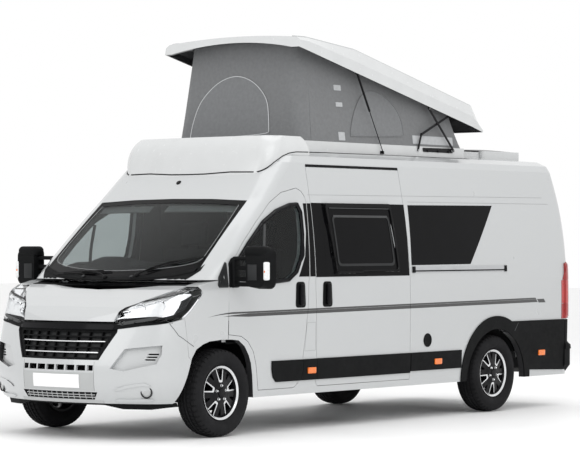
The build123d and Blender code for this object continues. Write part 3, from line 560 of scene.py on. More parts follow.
def plain_finish(
    name, colour, rough, metal=0.0, coat=0.0, grain=0.0, grain_scale=400.0, vary=0.05, vary_scale=6.0, spec=0.5,
    extra=None,
):
    """A finish with slow colour variation, uneven gloss and, where grain is set, a fine moulded grain."""
    finish, nodes, links, shader = new_finish(name)
    place = nodes.new("ShaderNodeTexCoord").outputs["Object"]
    patches = noise(nodes, links, place, vary_scale)
    tone = ramp(nodes, links, patches, ((0.3, shade(colour, 1 - vary)), (0.7, shade(colour, 1 + vary))))
    links.new(tone, shader.inputs["Base Color"])
    smear = noise(nodes, links, place, vary_scale * 4)
    gloss = ramp(nodes, links, smear, ((0.2, (rough * 0.85,) * 3), (0.8, (min(1, rough * 1.15),) * 3)))
    links.new(gloss, shader.inputs["Roughness"])
    shader.inputs["Metallic"].default_value = metal
    shader.inputs["Specular IOR Level"].default_value = spec
    shader.inputs["Coat Weight"].default_value = coat
    shader.inputs["Coat Roughness"].default_value = 0.03
    if grain:
        bump(nodes, links, shader, noise(nodes, links, place, grain_scale, 2.0), grain, 0.001)
    for socket, value in (extra or {}).items():
        shader.inputs[socket].default_value = value
    return finish


# Every finish by its short name, filled by make_finishes
FINISH = {}
WHITE = (0.555, 0.565, 0.567)


# The side stripe: its climb towards the tail, the dip over the front wing, and the slanted block at its rear end
STRIPE_CLIMB, DIP_START, DIP_CURVE = -0.0093, 2.10, 0.24
STRIPE_END, BLOCK_FRONT, BLOCK_REAR, BLOCK_Z, BLOCK_HALF, SLANT = -2.508, -2.520, -2.645, 1.044, 0.018, -0.9
# Each strand: its offset from the stripe's middle, its share of the stripe's width and the X of its front point
STRANDS = ((0.0110, 0.50, 2.45), (-0.0120, 0.95, 2.25))
FLANK_Y = 0.93


def make_paint(settings):
    """Body paint with a fine metal flake, a clear coat, the long tapering side stripe, and a dark colour on inner faces
    and arch returns that is partly lining and partly painted shade.
    """
    finish, nodes, links, shader = new_finish("body_paint")
    place = nodes.new("ShaderNodeTexCoord").outputs["Object"]
    body = tuple(settings.body_colour)
    flake = noise(nodes, links, place, 2600.0, 1.0)
    tone = ramp(nodes, links, flake, ((0.35, shade(body, 0.965)), (0.65, shade(body, 1.035))))
    split = nodes.new("ShaderNodeSeparateXYZ")
    links.new(place, split.inputs["Vector"])
    ahead, across, up = split.outputs

    def under(first, second):
        return number(nodes, links, "LESS_THAN", first, second)

    def both(first, second):
        return number(nodes, links, "MULTIPLY", first, second)

    def most(first, second):
        return number(nodes, links, "MAXIMUM", first, second)

    def plus(first, second):
        return number(nodes, links, "ADD", first, second)

    def less(first, second):
        return number(nodes, links, "SUBTRACT", first, second)

    def size(value):
        return number(nodes, links, "ABSOLUTE", value)

    # Two strands climb gently towards the tail, and run together to a point that dips over the front wing.
    rise = plus(both(ahead, STRIPE_CLIMB), settings.stripe_height)
    nose = most(less(ahead, DIP_START), 0.0)
    line = less(rise, both(both(nose, nose), DIP_CURVE))
    strands = None
    for offset, width, reach in STRANDS:
        taper = number(nodes, links, "MINIMUM", both(less(reach, ahead), 3.0), 1.0)
        half = both(taper, settings.stripe_width * width)
        away = size(less(up, plus(line, offset)))
        strand = under(away, half)
        strands = strand if strands is None else most(strands, strand)
    # The strands end at a slanted gap, followed by a slanted block.
    slant = plus(ahead, both(less(up, BLOCK_Z), SLANT))
    strands = both(strands, under(STRIPE_END, slant))
    away = size(less(up, BLOCK_Z))
    tail = both(both(under(away, BLOCK_HALF), under(slant, BLOCK_FRONT)), under(BLOCK_REAR, slant))
    inside = most(strands, tail)
    flank = number(nodes, links, "GREATER_THAN", size(across), FLANK_Y)
    inside = both(inside, flank)
    striped = blend(nodes, links, inside, tone, settings.stripe_colour)
    # Faces that look into the van, faces that look down under the roof, the floor's upper faces and the wheel arches'
    # returns are darkened: partly the dark lining and arch liners, partly painted shade inside the van and in the
    # arches.
    normal = nodes.new("ShaderNodeSeparateXYZ")
    links.new(nodes["Texture Coordinate"].outputs["Normal"], normal.inputs["Vector"])
    facing_x, facing_y, facing_z = normal.outputs
    lined_and_shaded = under(both(facing_y, across), -0.12)
    lined_and_shaded = most(lined_and_shaded, under(both(facing_x, ahead), -1.1))
    lined_and_shaded = most(lined_and_shaded, both(under(facing_z, -0.3), under(1.95, up)))
    low = both(both(under(0.5, facing_z), under(up, 0.80)), both(under(0.55, up), under(ahead, 2.15)))
    lined_and_shaded = most(lined_and_shaded, both(low, under(size(across), 0.98)))
    for axle in (AXLE_FRONT, AXLE_REAR):
        gap_x = less(ahead, axle)
        gap_z = less(up, AXLE_Z)
        near = under(plus(both(gap_x, gap_x), both(gap_z, gap_z)), 0.36)
        lined_and_shaded = most(lined_and_shaded, both(near, under(size(facing_y), 0.6)))
    # Dark colour on these faces: partly the van's lining and arch liners, partly painted shade inside the van and in
    # the arches.
    links.new(blend(nodes, links, lined_and_shaded, striped, (0.022, 0.022, 0.024)), shader.inputs["Base Color"])
    gloss = ramp(nodes, links, noise(nodes, links, place, 3.0), ((0.2, (0.26,) * 3), (0.8, (0.34,) * 3)))
    links.new(most(gloss, both(lined_and_shaded, 0.8)), shader.inputs["Roughness"])
    shader.inputs["Metallic"].default_value = 0.1
    shader.inputs["Coat Weight"].default_value = 0.8
    shader.inputs["Coat Roughness"].default_value = 0.04
    bump(nodes, links, shader, noise(nodes, links, place, 350.0, 1.0), 0.02, 0.0006)
    return finish


def make_lid_shell():
    """White gelcoat outside, and a dark colour on the faces that look down or towards the lid's middle: partly the
    lid's lining, partly painted shade under the lid.
    """
    finish = plain_finish("lid_gelcoat", WHITE, 0.25, coat=0.4, vary=0.02)
    nodes, links = finish.node_tree.nodes, finish.node_tree.links
    shader = nodes["Principled BSDF"]
    tone = shader.inputs["Base Color"].links[0].from_socket
    coordinates = nodes["Texture Coordinate"]
    place, facing = nodes.new("ShaderNodeSeparateXYZ"), nodes.new("ShaderNodeSeparateXYZ")
    links.new(coordinates.outputs["Object"], place.inputs["Vector"])
    links.new(coordinates.outputs["Normal"], facing.inputs["Vector"])
    down = number(nodes, links, "LESS_THAN", facing.outputs["Z"], -0.35)
    inward = number(nodes, links, "MULTIPLY", facing.outputs["Y"], place.outputs["Y"])
    inward = number(nodes, links, "LESS_THAN", inward, -0.12)
    middle = number(nodes, links, "ADD", place.outputs["X"], 0.5)
    endward = number(nodes, links, "LESS_THAN", number(nodes, links, "MULTIPLY", facing.outputs["X"], middle), -0.25)
    lined_and_shaded = number(nodes, links, "MAXIMUM", number(nodes, links, "MAXIMUM", down, inward), endward)
    # Painted shade, together with the lining: the lid's lower and inner faces are darkened.
    links.new(blend(nodes, links, lined_and_shaded, tone, (0.020, 0.020, 0.022)), shader.inputs["Base Color"])
    return finish


def make_glass(name, colour):
    return plain_finish(name, colour, 0.02, vary=0.02, extra={"Transmission Weight": 1.0, "IOR": 1.2})


def make_canvas(colour, name):
    """Coated cotton cloth: a plain weave with faint slubs and soft shading."""
    finish, nodes, links, shader = new_finish(name)
    place = nodes.new("ShaderNodeTexCoord").outputs["Object"]
    slub = noise(nodes, links, place, 35.0, 4.0)
    tone = ramp(nodes, links, slub, ((0.25, shade(colour, 0.9)), (0.75, shade(colour, 1.08))))
    links.new(tone, shader.inputs["Base Color"])
    heights = []
    for direction in ("X", "Z"):
        wave = nodes.new("ShaderNodeTexWave")
        wave.bands_direction = direction
        wave.inputs["Scale"].default_value = 90.0
        wave.inputs["Distortion"].default_value = 1.2
        wave.inputs["Detail"].default_value = 1.0
        links.new(place, wave.inputs["Vector"])
        heights.append(wave.outputs["Fac"])
    weave = number(nodes, links, "MAXIMUM", heights[0], heights[1])
    bump(nodes, links, shader, weave, 0.25, 0.0015)
    shader.inputs["Roughness"].default_value = 0.85
    shader.inputs["Sheen Weight"].default_value = 0.15
    return finish


PLAIN_FINISHES = {
    "gelcoat": ("white_gelcoat", WHITE, 0.25, dict(coat=0.4, vary=0.02)),
    "gloss_black": ("gloss_black", (0.004, 0.004, 0.005), 0.12, dict(vary=0.1, spec=0.1)),
    "acrylic": ("smoked_acrylic", (0.003, 0.003, 0.0035), 0.08, dict(vary=0.1, spec=0.07)),
    "frame_black": ("frame_black", (0.004, 0.004, 0.0045), 0.35, dict(vary=0.1, spec=0.1)),
    "frame_grey": ("frame_grey", (0.022, 0.023, 0.024), 0.35, dict(vary=0.1, spec=0.15)),
    "bar_grey": ("bar_grey", (0.055, 0.057, 0.058), 0.35, dict(vary=0.1, spec=0.15)),
    # Grey lines: the windscreen's seal line and dark joints at seams, and painted shade along creases and press lines.
    "seam_grey": ("seam_grey", (0.28, 0.285, 0.29), 0.5, dict(vary=0.05)),
    "reflector": ("lamp_reflector", (0.93, 0.94, 0.95), 0.22, dict(metal=0.55, coat=0.5, vary=0.06, vary_scale=30)),
    "panel_grey": ("plate_panel", (0.40, 0.41, 0.41), 0.4, dict(coat=0.2, vary=0.03)),
    "lip_grey": ("silver_plastic", (0.42, 0.43, 0.43), 0.4, dict(grain=0.1, vary=0.05)),
    "plate_white": ("plate_white", (0.86, 0.86, 0.86), 0.3, dict(coat=0.3, vary=0.01)),
    "mirror": ("mirror_glass", (0.70, 0.72, 0.73), 0.03, dict(metal=1.0, vary=0.01)),
    "lens_white": ("indicator_lens", (0.75, 0.76, 0.76), 0.12, dict(coat=0.6, vary=0.08, vary_scale=60)),
    "visor_grey": ("visor_grey", (0.22, 0.225, 0.22), 0.8, dict(grain=0.3, vary=0.08)),
    "frit": ("glass_frit", (0.003, 0.003, 0.0035), 0.2, dict(vary=0.1, spec=0.08)),
    # The dark sheet under the lid: partly lining, partly painted shade.
    "lining": ("lid_lining", (0.035, 0.036, 0.037), 0.85, dict(grain=0.3, vary=0.1, spec=0.2)),
    "rubber": ("tyre_rubber", (0.011, 0.011, 0.012), 0.8, dict(grain=0.5, grain_scale=260, vary=0.25, spec=0.15)),
    "alloy": ("cut_alloy", (0.72, 0.73, 0.74), 0.2, dict(metal=1.0, coat=0.4, grain=0.06, grain_scale=900)),
    "alloy_black": ("alloy_black", (0.005, 0.005, 0.006), 0.3, dict(vary=0.15, spec=0.15)),
    "chrome": ("chrome", (0.75, 0.76, 0.77), 0.08, dict(metal=1.0)),
    "aluminium": ("brushed_aluminium", (0.50, 0.51, 0.52), 0.35, dict(metal=0.9, grain=0.1, grain_scale=500)),
    "iron": (
        "chassis_iron", (0.008, 0.008, 0.009), 0.6, dict(metal=0.1, grain=0.4, grain_scale=120, vary=0.3, spec=0.1),
    ),
    "seat": ("seat_cloth", (0.02, 0.021, 0.022), 0.9, dict(grain=0.5, grain_scale=600, vary=0.2, spec=0.1)),
    "cabin": ("cabin_plastic", (0.012, 0.012, 0.013), 0.65, dict(grain=0.4, grain_scale=500, vary=0.12, spec=0.1)),
    "red_lens": ("red_lens", (0.30, 0.008, 0.008), 0.12, dict(coat=0.6, vary=0.1)),
    "piping": ("pale_piping", (0.50, 0.51, 0.52), 0.6, dict(grain=0.2, grain_scale=900)),
    "black_steel": ("black_steel", (0.006, 0.006, 0.007), 0.4, dict(metal=0.1, grain=0.1, vary=0.2, spec=0.15)),
    "rose_lens": ("rose_lens", (0.40, 0.030, 0.028), 0.12, dict(coat=0.6, vary=0.1)),
    "amber": ("amber_lens", (0.80, 0.17, 0.008), 0.15, dict(coat=0.6, vary=0.1)),
}


def make_finishes():
    """Makes every finish: the plain ones of the table, and those that follow the settings."""
    trim = bpy.context.scene.van_trim
    for key, (name, colour, rough, more) in PLAIN_FINISHES.items():
        FINISH[key] = plain_finish(name, colour, rough, **more)
    FINISH["paint"] = make_paint(bpy.context.scene.van_paint)
    FINISH["lid_shell"] = make_lid_shell()
    FINISH["plastic"] = plain_finish(
        "grained_plastic", tuple(trim.plastic_colour), 0.6, grain=0.35, grain_scale=700, vary=0.18, spec=0.08
    )
    FINISH["glass"] = make_glass("tinted_glass", (0.50, 0.54, 0.54))
    FINISH["lens"] = make_glass("clear_lens", (0.96, 0.97, 0.98))
    FINISH["canvas"] = make_canvas(tuple(trim.canvas_colour), "canvas_cloth")
    FINISH["canvas_pale"] = make_canvas((0.42, 0.43, 0.44), "canvas_pale")
    FINISH["mesh_window"] = make_canvas((0.16, 0.165, 0.17), "canvas_window")


# ---- Wheels
def across_wheel(name, points, thickness, corner=0.0):
    """A plate in the wheel's plane, its outline given as X, Z points about the axle, growing outboard."""
    piece = cut_plate(name, points, thickness, corner)
    stand(piece, Matrix(((-1, 0, 0, 0), (0, 0, 1, 0), (0, 1, 0, 0), (0, 0, 0, 1))))
    return piece


def polar(points, turn):
    """Radius, sideways points turned to an angle of the wheel."""
    c, s = cos(radians(turn)), sin(radians(turn))
    return [(r * c - t * s, r * s + t * c) for r, t in points]


def moved(piece, offset, turn_y=0.0, turn_z=0.0):
    """Turns a piece about Y and then Z, in degrees, and moves it."""
    rotation = Matrix.Rotation(radians(turn_z), 4, "Z") @ Matrix.Rotation(radians(turn_y), 4, "Y")
    piece.matrix_world = Matrix.Translation(offset) @ rotation
    pick(piece)
    bpy.ops.object.transform_apply(location=True, rotation=True, scale=True)
    return piece


def cut_with(piece, cutter):
    modifier = piece.modifiers.new("Cut", "BOOLEAN")
    modifier.object = cutter
    modifier.operation = "DIFFERENCE"
    modifier.solver = "EXACT"
    apply_all(piece)
    bpy.data.objects.remove(cutter)


# Each ring of a turned form is a radius and a reach outboard; each point of a spoke is a radius and a way sideways.
RIM_LIP, BEAD_SEAT = 0.226, 0.2117
BARREL = (
    (BEAD_SEAT, -0.080), (RIM_LIP, -0.084), (RIM_LIP, -0.088), (0.207, -0.088), (0.196, -0.070), (0.186, -0.02),
    (0.190, 0.05), (0.200, 0.062), (0.206, 0.080), (RIM_LIP - 0.004, 0.088), (RIM_LIP, 0.086), (RIM_LIP, 0.084),
    (BEAD_SEAT, 0.080), (0.2105, 0.078), (0.208, 0.06), (0.200, 0.02), (0.200, -0.05), (0.2105, -0.074),
    (BEAD_SEAT, -0.080),
)
FACE = (
    (0.203, 0.040), (0.203, 0.064), (0.180, 0.069), (0.130, 0.075), (0.090, 0.081), (0.078, 0.088), (0.040, 0.088),
    (0.034, 0.083), (0.034, 0.045), (0.080, 0.045), (0.120, 0.052), (0.180, 0.044), (0.203, 0.040),
)
DISH = ((0.060, -0.034), (0.150, -0.034), (0.150, -0.062), (0.060, -0.062), (0.060, -0.034))
HAT = ((0.034, -0.030), (0.072, -0.030), (0.075, 0.045), (0.034, 0.045), (0.034, -0.030))
RIM_RING = (
    (0.2045, 0.0630), (0.2055, 0.0805), (0.2195, 0.0893), (0.2235, 0.0893), (0.2185, 0.0845), (0.2075, 0.0770),
    (0.2045, 0.0630),
)
SPOKE_EDGE = (
    (0.205, -0.0505), (0.093, -0.0215), (0.087, -0.013), (0.087, 0.013), (0.093, 0.0215), (0.205, 0.0505),
    (0.205, 0.0415), (0.110, 0.0135), (0.107, 0.009), (0.107, -0.009), (0.110, -0.0135), (0.205, -0.0415),
)
SPOKE_WINDOW = ((0.108, -0.012), (0.190, -0.040), (0.192, 0.040), (0.108, 0.012))
SPOKE_VENT = ((0.132, -0.006), (0.190, -0.019), (0.190, 0.019), (0.132, 0.006))
WHEEL_BOLT = ((0.0125, 0.086), (0.0125, 0.0895), (0.0095, 0.0915), (0.0095, 0.1015), (0.0075, 0.1035))
WHEEL_CAP = ((0.0335, 0.070), (0.0335, 0.0905), (0.030, 0.0945), (0.021, 0.0962), (0.020, 0.0948), (0.008, 0.0955))
# Angles of the five spokes, in degrees
SPOKE_TURNS = (90, 162, 234, 306, 378)


def wheel_face():
    """The alloy's face, cut through between its five spokes, with a narrow slot in each."""
    face = turned("face", FACE, ORIGIN, count=120, caps=False)
    cutters = []
    for turn in SPOKE_TURNS:
        window, vent = polar(SPOKE_WINDOW, turn), polar(SPOKE_VENT, turn + 36)
        cutters.append(moved(across_wheel("window", window, 0.12, 0.006), (0, 0.01, 0)))
        cutters.append(moved(across_wheel("window", vent, 0.12, 0.004), (0, 0.01, 0)))
    cut_with(face, joined("windows", cutters))
    bevelled(face, 0.0022, 2, 40)
    return face


def polished_edges():
    """The cut rim ring and the bright edges round the spokes, following the dished face."""
    polished = [turned("rim_ring", RIM_RING, ORIGIN, count=120, caps=False)]
    for turn in SPOKE_TURNS:
        strip = moved(across_wheel("edge", polar(SPOKE_EDGE, turn), 0.003), ORIGIN)
        edit(strip, "VERT")
        mesh = bmesh.from_edit_mesh(strip.data)
        for vertex in mesh.verts:
            reach = (vertex.co.x**2 + vertex.co.z**2) ** 0.5
            vertex.co.y += 0.0825 - (reach - 0.087) / 0.118 * 0.0165
        bmesh.update_edit_mesh(strip.data)
        object_mode()
        bevelled(strip, 0.0012, 2, 50)
        polished.append(strip)
    return joined("polished_edges", polished)


class VAN_OT_alloy_wheels(bpy.types.Operator):
    """Makes the black alloy wheels with their polished edges, bolts and centre caps"""

    bl_idname = "van.alloy_wheels"
    bl_label = "Alloy wheels"

    def execute(self, context):
        barrel = turned("barrel", BARREL, ORIGIN, count=96, caps=False)
        face = wheel_face()
        dish = turned("dish", DISH, ORIGIN, count=64, caps=False)
        hat = turned("hat", HAT, ORIGIN, count=48, caps=False)
        silver = polished_edges()
        bolts = []
        for turn in SPOKE_TURNS:
            x, z = polar([(0.062, 0)], turn)[0]
            bolts.append(turned("bolt", WHEEL_BOLT, (-x, 0, z), count=6))
        cap = turned("cap", WHEEL_CAP, ORIGIN, count=48)
        black = joined("black_alloy", [barrel, face, dish, hat])
        bright = joined("bolts", bolts)
        for place, x, y, side in WHEEL_PLACES:
            turn = 0 if place.startswith("front") else 36 * side
            for source, title, finish in (
                (black, "alloy_black", "alloy_black"), (silver, "alloy_polished", "alloy"),
                (bright, "wheel_bolts", "chrome"), (cap, "wheel_cap", "alloy_black"),
            ):
                piece = moved(copy_of(source, f"{title}_{place}"), (x, y, AXLE_Z), turn, 0 if side > 0 else 180)
                stands_for = (f"rim_{place}",) if source is black else ()
                settle(piece, f"wheel_{place}", FINISH[finish], instead_of=stands_for)
        for source in (black, silver, bright, cap):
            bpy.data.objects.remove(source)
        return {"FINISHED"}


# One half of the tyre's section from its bead to the tread's middle: each point is a way outboard and a radius.
TYRE_HALF = (
    (0.079, 0.2120), (0.079, 0.2290), (0.0905, 0.2380), (0.1010, 0.2500), (0.1075, 0.2660), (0.1085, 0.2690),
    (0.1095, 0.2750), (0.1118, 0.2900), (0.1108, 0.3100), (0.1092, 0.3140), (0.1078, 0.3220), (0.1015, 0.3400),
    (0.0965, 0.3480), (0.0900, 0.3545), (0.0640, 0.3610), (0.0625, 0.3535), (0.0525, 0.3540), (0.0510, 0.3625),
    (0.0230, 0.3650), (0.0215, 0.3565), (0.0110, 0.3565), (0.0095, 0.3658),
)
TREAD_STEPS = 180


class VAN_OT_tyres(bpy.types.Operator):
    """Makes the road tyres with grooves, tread blocks and sidewall rings"""

    bl_idname = "van.tyres"
    bl_label = "Tyres"

    def execute(self, context):
        profile = [(r, y) for y, r in TYRE_HALF] + [(r, -y) for y, r in reversed(TYRE_HALF)]
        profile.append(profile[0])
        tyre = turned("road_tyre", profile, ORIGIN, count=TREAD_STEPS, caps=False)
        edit(tyre)

        def in_groove(face):
            middle = face.calc_center_median()
            reach = (middle.x**2 + middle.z**2) ** 0.5
            if reach < 0.3405 or abs(face.normal.y) > 0.93:
                return False
            step = int((degrees(atan2(middle.z, middle.x)) % 360) / (360 / TREAD_STEPS))
            width = abs(middle.y)
            if width > 0.064:
                return step % 4 == (0 if middle.y > 0 else 2)
            if 0.0235 < width < 0.0505 and reach > 0.361:
                return step % 3 == (0 if middle.y > 0 else 1)
            return False

        select(tyre, in_groove)
        bpy.ops.mesh.extrude_region_shrink_fatten(TRANSFORM_OT_shrink_fatten={"value": -0.006})
        object_mode()
        for place, x, y, side in WHEEL_PLACES:
            piece = moved(copy_of(tyre, f"road_tyre_{place}"), (x, y, AXLE_Z), 0, 0 if side > 0 else 180)
            node = f"tyre_{place}"
            settle(piece, f"wheel_{place}", FINISH["rubber"], angle=28, instead_of=(node,))
        bpy.data.objects.remove(tyre)
        return {"FINISHED"}


# ---- Pop-top
CANVAS_FOOT_Z = 2.512
FOOT_FRONT, FOOT_REAR, FOOT_HALF = 0.838, -1.700, 0.730
TOP_FRONT, TOP_REAR, TOP_HALF = 0.748, -1.480, 0.622
TOP_FRONT_Z, TOP_REAR_Z, TOP_HALF_Z = 3.360, 2.854, 3.400
CLOTH = 0.0016
SIDE_ARCH = ((0.105, 2.572), (0.082, 2.666), (0.010, 2.807), (-0.092, 2.930), (-0.208, 2.990), (-0.358, 2.992),
             (-0.500, 2.939), (-0.621, 2.853), (-0.695, 2.735), (-0.711, 2.590))
FRONT_ARCH = ((-0.554, 2.560), (-0.529, 2.704), (-0.459, 2.880), (-0.325, 3.014), (-0.186, 3.088), (-0.032, 3.109),
              (0.127, 3.060), (0.254, 2.963), (0.335, 2.832), (0.369, 2.560))
PATCHES = ((0.184, 2.981, 0.288, 3.030), (0.184, 2.834, 0.281, 2.874), (0.190, 2.530, 0.285, 2.605),
           (-1.500, 2.534, -0.850, 2.612))


def canvas_half(z):
    """Half width of the canvas at a height."""
    return FOOT_HALF + (TOP_HALF - FOOT_HALF) * (z - CANVAS_FOOT_Z) / (TOP_HALF_Z - CANVAS_FOOT_Z)


def lid_edge(share):
    """X and Z of the canvas's straight top edge, from its rear end to its front end."""
    return TOP_REAR + share * (TOP_FRONT - TOP_REAR), TOP_REAR_Z + share * (TOP_FRONT_Z - TOP_REAR_Z)


def squash_canvas(piece):
    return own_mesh(piece)


def on_canvas(foot, rise, proud=0.0):
    """Lifts a foot point of the canvas up its wall: rise 0 is the foot and 1 the lid."""
    u = (foot.x - FOOT_REAR) / (FOOT_FRONT - FOOT_REAR)
    v = foot.y / FOOT_HALF
    top_x, top_z = lid_edge(u)
    top_z += 0.004
    top = Vector((top_x, v * canvas_half(top_z), top_z))
    point = Vector((foot.x, foot.y, CANVAS_FOOT_Z)).lerp(top, rise)
    sag = sin(pi * rise)
    folds = 0.0016 * sin(
        95 * foot.x + 3 * sin(7 * rise)
    ) * max(0.0, rise - 0.35) + 0.0012 * sin(70 * foot.y + 4 * rise)
    pull = -0.004 * sag + folds * (1 - abs(2 * rise - 1) * 0.3) + proud
    if abs(2 * u - 1) > 0.985:
        point.x += (1 if u > 0.5 else -1) * pull
    if abs(v) > 0.96:
        point.y += (1 if v > 0 else -1) * pull
    return point


def under_lid(lid, point, rise):
    """Lets the cloth's upper part follow the arched underside of the lid."""
    on_top = lid.ray_cast(Vector((point.x, point.y, 2.56)), Vector((0, 0, 1)))[0]
    if on_top is None:
        return point
    flat = lid_edge((point.x - TOP_REAR) / (TOP_FRONT - TOP_REAR))[1]
    gain = min(0.090, max(-0.010, on_top.z - flat))
    return point + Vector((0, 0, gain * max(0.0, rise) ** 2))


def side_wall(side, x, z, proud):
    """A point on the canvas's side wall, given its X and Z."""
    u = 0.5
    for _ in range(12):
        foot_x = FOOT_REAR + (FOOT_FRONT - FOOT_REAR) * u
        top_x, top_z = lid_edge(u)
        rise = (z - CANVAS_FOOT_Z) / (top_z - CANVAS_FOOT_Z)
        u += (x - (foot_x + (top_x - foot_x) * rise)) / (FOOT_FRONT - FOOT_REAR)
    return Vector((x, side * (canvas_half(z) + proud), z))


def front_wall(y, z, proud):
    """A point on the canvas's front wall, given its Y and Z."""
    rise = (z - CANVAS_FOOT_Z) / (TOP_FRONT_Z - CANVAS_FOOT_Z)
    return Vector((FOOT_FRONT - (FOOT_FRONT - TOP_FRONT) * rise + proud, y, z))


def laid(piece, place):
    """Lays a flat piece on a wall: place gives each of its points a new one."""
    for vertex in piece.data.vertices:
        vertex.co = place(vertex.co)
    outward(piece)
    return piece


class VAN_OT_canvas(bpy.types.Operator):
    """Makes the raised canvas with its arched windows, piping, seams and patches"""

    bl_idname = "van.canvas"
    bl_label = "Canvas"

    def execute(self, context):
        foot = rounded(oblong(FOOT_REAR, -FOOT_HALF, FOOT_FRONT, FOOT_HALF), 0.13, 8)
        lid = seen_from(FROM_BELOW, "pop_top_lid")[0]
        walls = surface("canvas_walls", 320, 26, lambda u, v: under_lid(lid, on_canvas(along(foot, u % 1.0), v), v))
        cloth = walls.modifiers.new("Cloth", "SOLIDIFY")
        cloth.thickness = 0.002
        cloth.offset = 0
        apply_all(walls)
        settle(walls, "body", FINISH["canvas"], angle=60, instead_of=("canvas",))
        squash_canvas(walls)

        def add(piece, finish):
            settle(piece, "body", FINISH[finish], angle=60)
            squash_canvas(piece)

        for side, hand in HANDS:

            def on_side(point):
                return side_wall(side, point.x, point.z, 0.002 + point.y)

            arch = smooth_outline(SIDE_ARCH)
            add(laid(side_plate(f"canvas_window_{hand}", arch, 0, CLOTH), on_side), "mesh_window")
            loop = [side_wall(side, x, z, 0.004) for x, z in arch + [arch[0]]]
            add(piped(f"canvas_piping_{hand}", loop, 0.0035), "canvas")
            patches = [side_plate("patch", rounded(oblong(*corners), 0.006, 2), 0, CLOTH) for corners in PATCHES]
            add(joined(f"canvas_patches_{hand}", [laid(patch, on_side) for patch in patches]), "canvas_pale")
            seam_foot = Vector((0.690, side * FOOT_HALF))
            seam = [on_canvas(seam_foot, step / 10, 0.002) for step in range(11)]
            add(piped(f"corner_seam_{hand}", seam, 0.0025), "canvas")
        arch = smooth_outline(FRONT_ARCH)
        window = front_plate("canvas_window_front", arch, 0, CLOTH)
        add(laid(window, lambda point: front_wall(point.y, point.z, 0.003 + point.x)), "mesh_window")
        loop = [front_wall(y, z, 0.005) for y, z in arch + [arch[0]]]
        add(piped("canvas_piping_front", loop, 0.004), "piping")
        return {"FINISHED"}


class VAN_OT_lid_gear(bpy.types.Operator):
    """Makes the lid's hinge plates, pivot bolts, brackets and foot trim"""

    bl_idname = "van.lid_gear"
    bl_label = "Lid gear"

    def execute(self, context):
        bolt_rings = [(0.013, 0.0), (0.013, 0.004), (0.010, 0.005), (0.010, 0.010), (0.008, 0.012)]
        hinge = rounded([(-1.475, 2.462), (-0.995, 2.462), (-0.985, 2.500), (-1.478, 2.506)], 0.01, 3)
        foot = rounded([(-0.372, 2.424), (-0.316, 2.424), (-0.322, 2.452), (-0.366, 2.452)], 0.006, 2)
        plinth_y = 0.742
        for side, hand in HANDS:
            plates = [side_plate("plate", hinge, side * plinth_y, side * 0.004)]
            for x in (-1.40, -1.23, -1.06):
                plates.append(turned("bolt", bolt_rings, (x, side * 0.745, 2.473), side=side, count=6))
            plates.append(side_plate("foot", foot, side * plinth_y, side * 0.010))
            settle(joined(f"hinge_plates_{hand}", plates), "body", FINISH["black_steel"])
            bolts = []
            for x, z in ((-1.0544, 2.8745), (-1.434, 2.832), (0.0499, 3.144)):
                bolts.append(turned("bolt", bolt_rings, (x, side * 0.7695, z), side=side, count=12))
            settle(joined(f"lid_bolts_{hand}", bolts), "lid", FINISH["black_steel"])
        return {"FINISHED"}


# ---- Side trim
FILM_FOOT, FILM_TOP = 1.312, 1.957
FLANK_FILM = (
    ((-1.371, 1.410), (-0.422, 1.405), (-0.433, 1.953), (-1.808, 1.964)),
    ((0.844, FILM_FOOT), (0.990, FILM_FOOT), (0.996, FILM_TOP), (0.844, FILM_TOP)),
    ((-0.385, FILM_FOOT), (-0.240, FILM_FOOT), (-0.150, FILM_TOP), (-0.372, FILM_TOP)),
    ((1.001, 1.318), (1.074, 1.318), (1.053, 1.952), (1.006, 1.952)),
)
WINDOW_RIM_FILM = (
    oblong(-0.250, FILM_FOOT, 0.760, 1.352),
    ((0.700, FILM_FOOT), (0.852, FILM_FOOT), (0.852, FILM_TOP), (0.790, FILM_TOP)),
)
DOOR_FILM = (
    ((1.088, 1.318), (1.232, 1.318), (1.136, 1.493), (1.080, 1.493)),
    ((1.080, 1.493), (1.136, 1.493), (1.104, 1.707), (1.073, 1.707)),
    ((1.073, 1.707), (1.104, 1.707), (1.108, 1.951), (1.064, 1.951)),
)
POP_OUT_FRAME = ((-0.218, 1.330), (0.742, 1.330), (0.828, 1.950), (-0.142, 1.953))
POP_OUT_LIP = ((-0.190, 1.358), (0.720, 1.358), (0.798, 1.920), (-0.118, 1.923))
POP_OUT_BEAD = ((-0.150, 1.404), (0.690, 1.404), (0.742, 1.850), (-0.096, 1.853))
POP_OUT_PANE = ((-0.128, 1.426), (0.672, 1.426), (0.720, 1.832), (-0.078, 1.835))
GASKET_OUTER = (
    (
        1.1650, 1.500,
    ), (1.1400, 1.677), (1.1400, 1.880), (1.1880, 1.960), (1.3080, 1.952), (1.5030, 1.897), (1.6960, 1.800),
    (
        1.9110, 1.620,
    ), (2.0840, 1.456), (2.1260, 1.345), (2.0900, 1.290), (1.5810, 1.260), (1.3720, 1.276), (1.2560, 1.346),
)
GASKET_INNER = (
    (
        1.2020, 1.508,
    ), (1.1740, 1.677), (1.1740, 1.868), (1.2080, 1.926), (1.3080, 1.914), (1.4930, 1.860), (1.6780, 1.767),
    (
        1.8880, 1.592,
    ), (2.0540, 1.440), (2.0900, 1.345), (2.0680, 1.324), (1.5810, 1.294), (1.3820, 1.308), (1.2800, 1.372),
)
MARKER_PLACES = ((1.061, 0.508), (-0.830, 0.516), (-2.580, 0.538))
HANDLE_FOOT, HANDLE_TOP = 1.052, 1.274
RAIL_FRONT, RAIL_REAR, RAIL_Z = -0.457, -1.946, 1.366


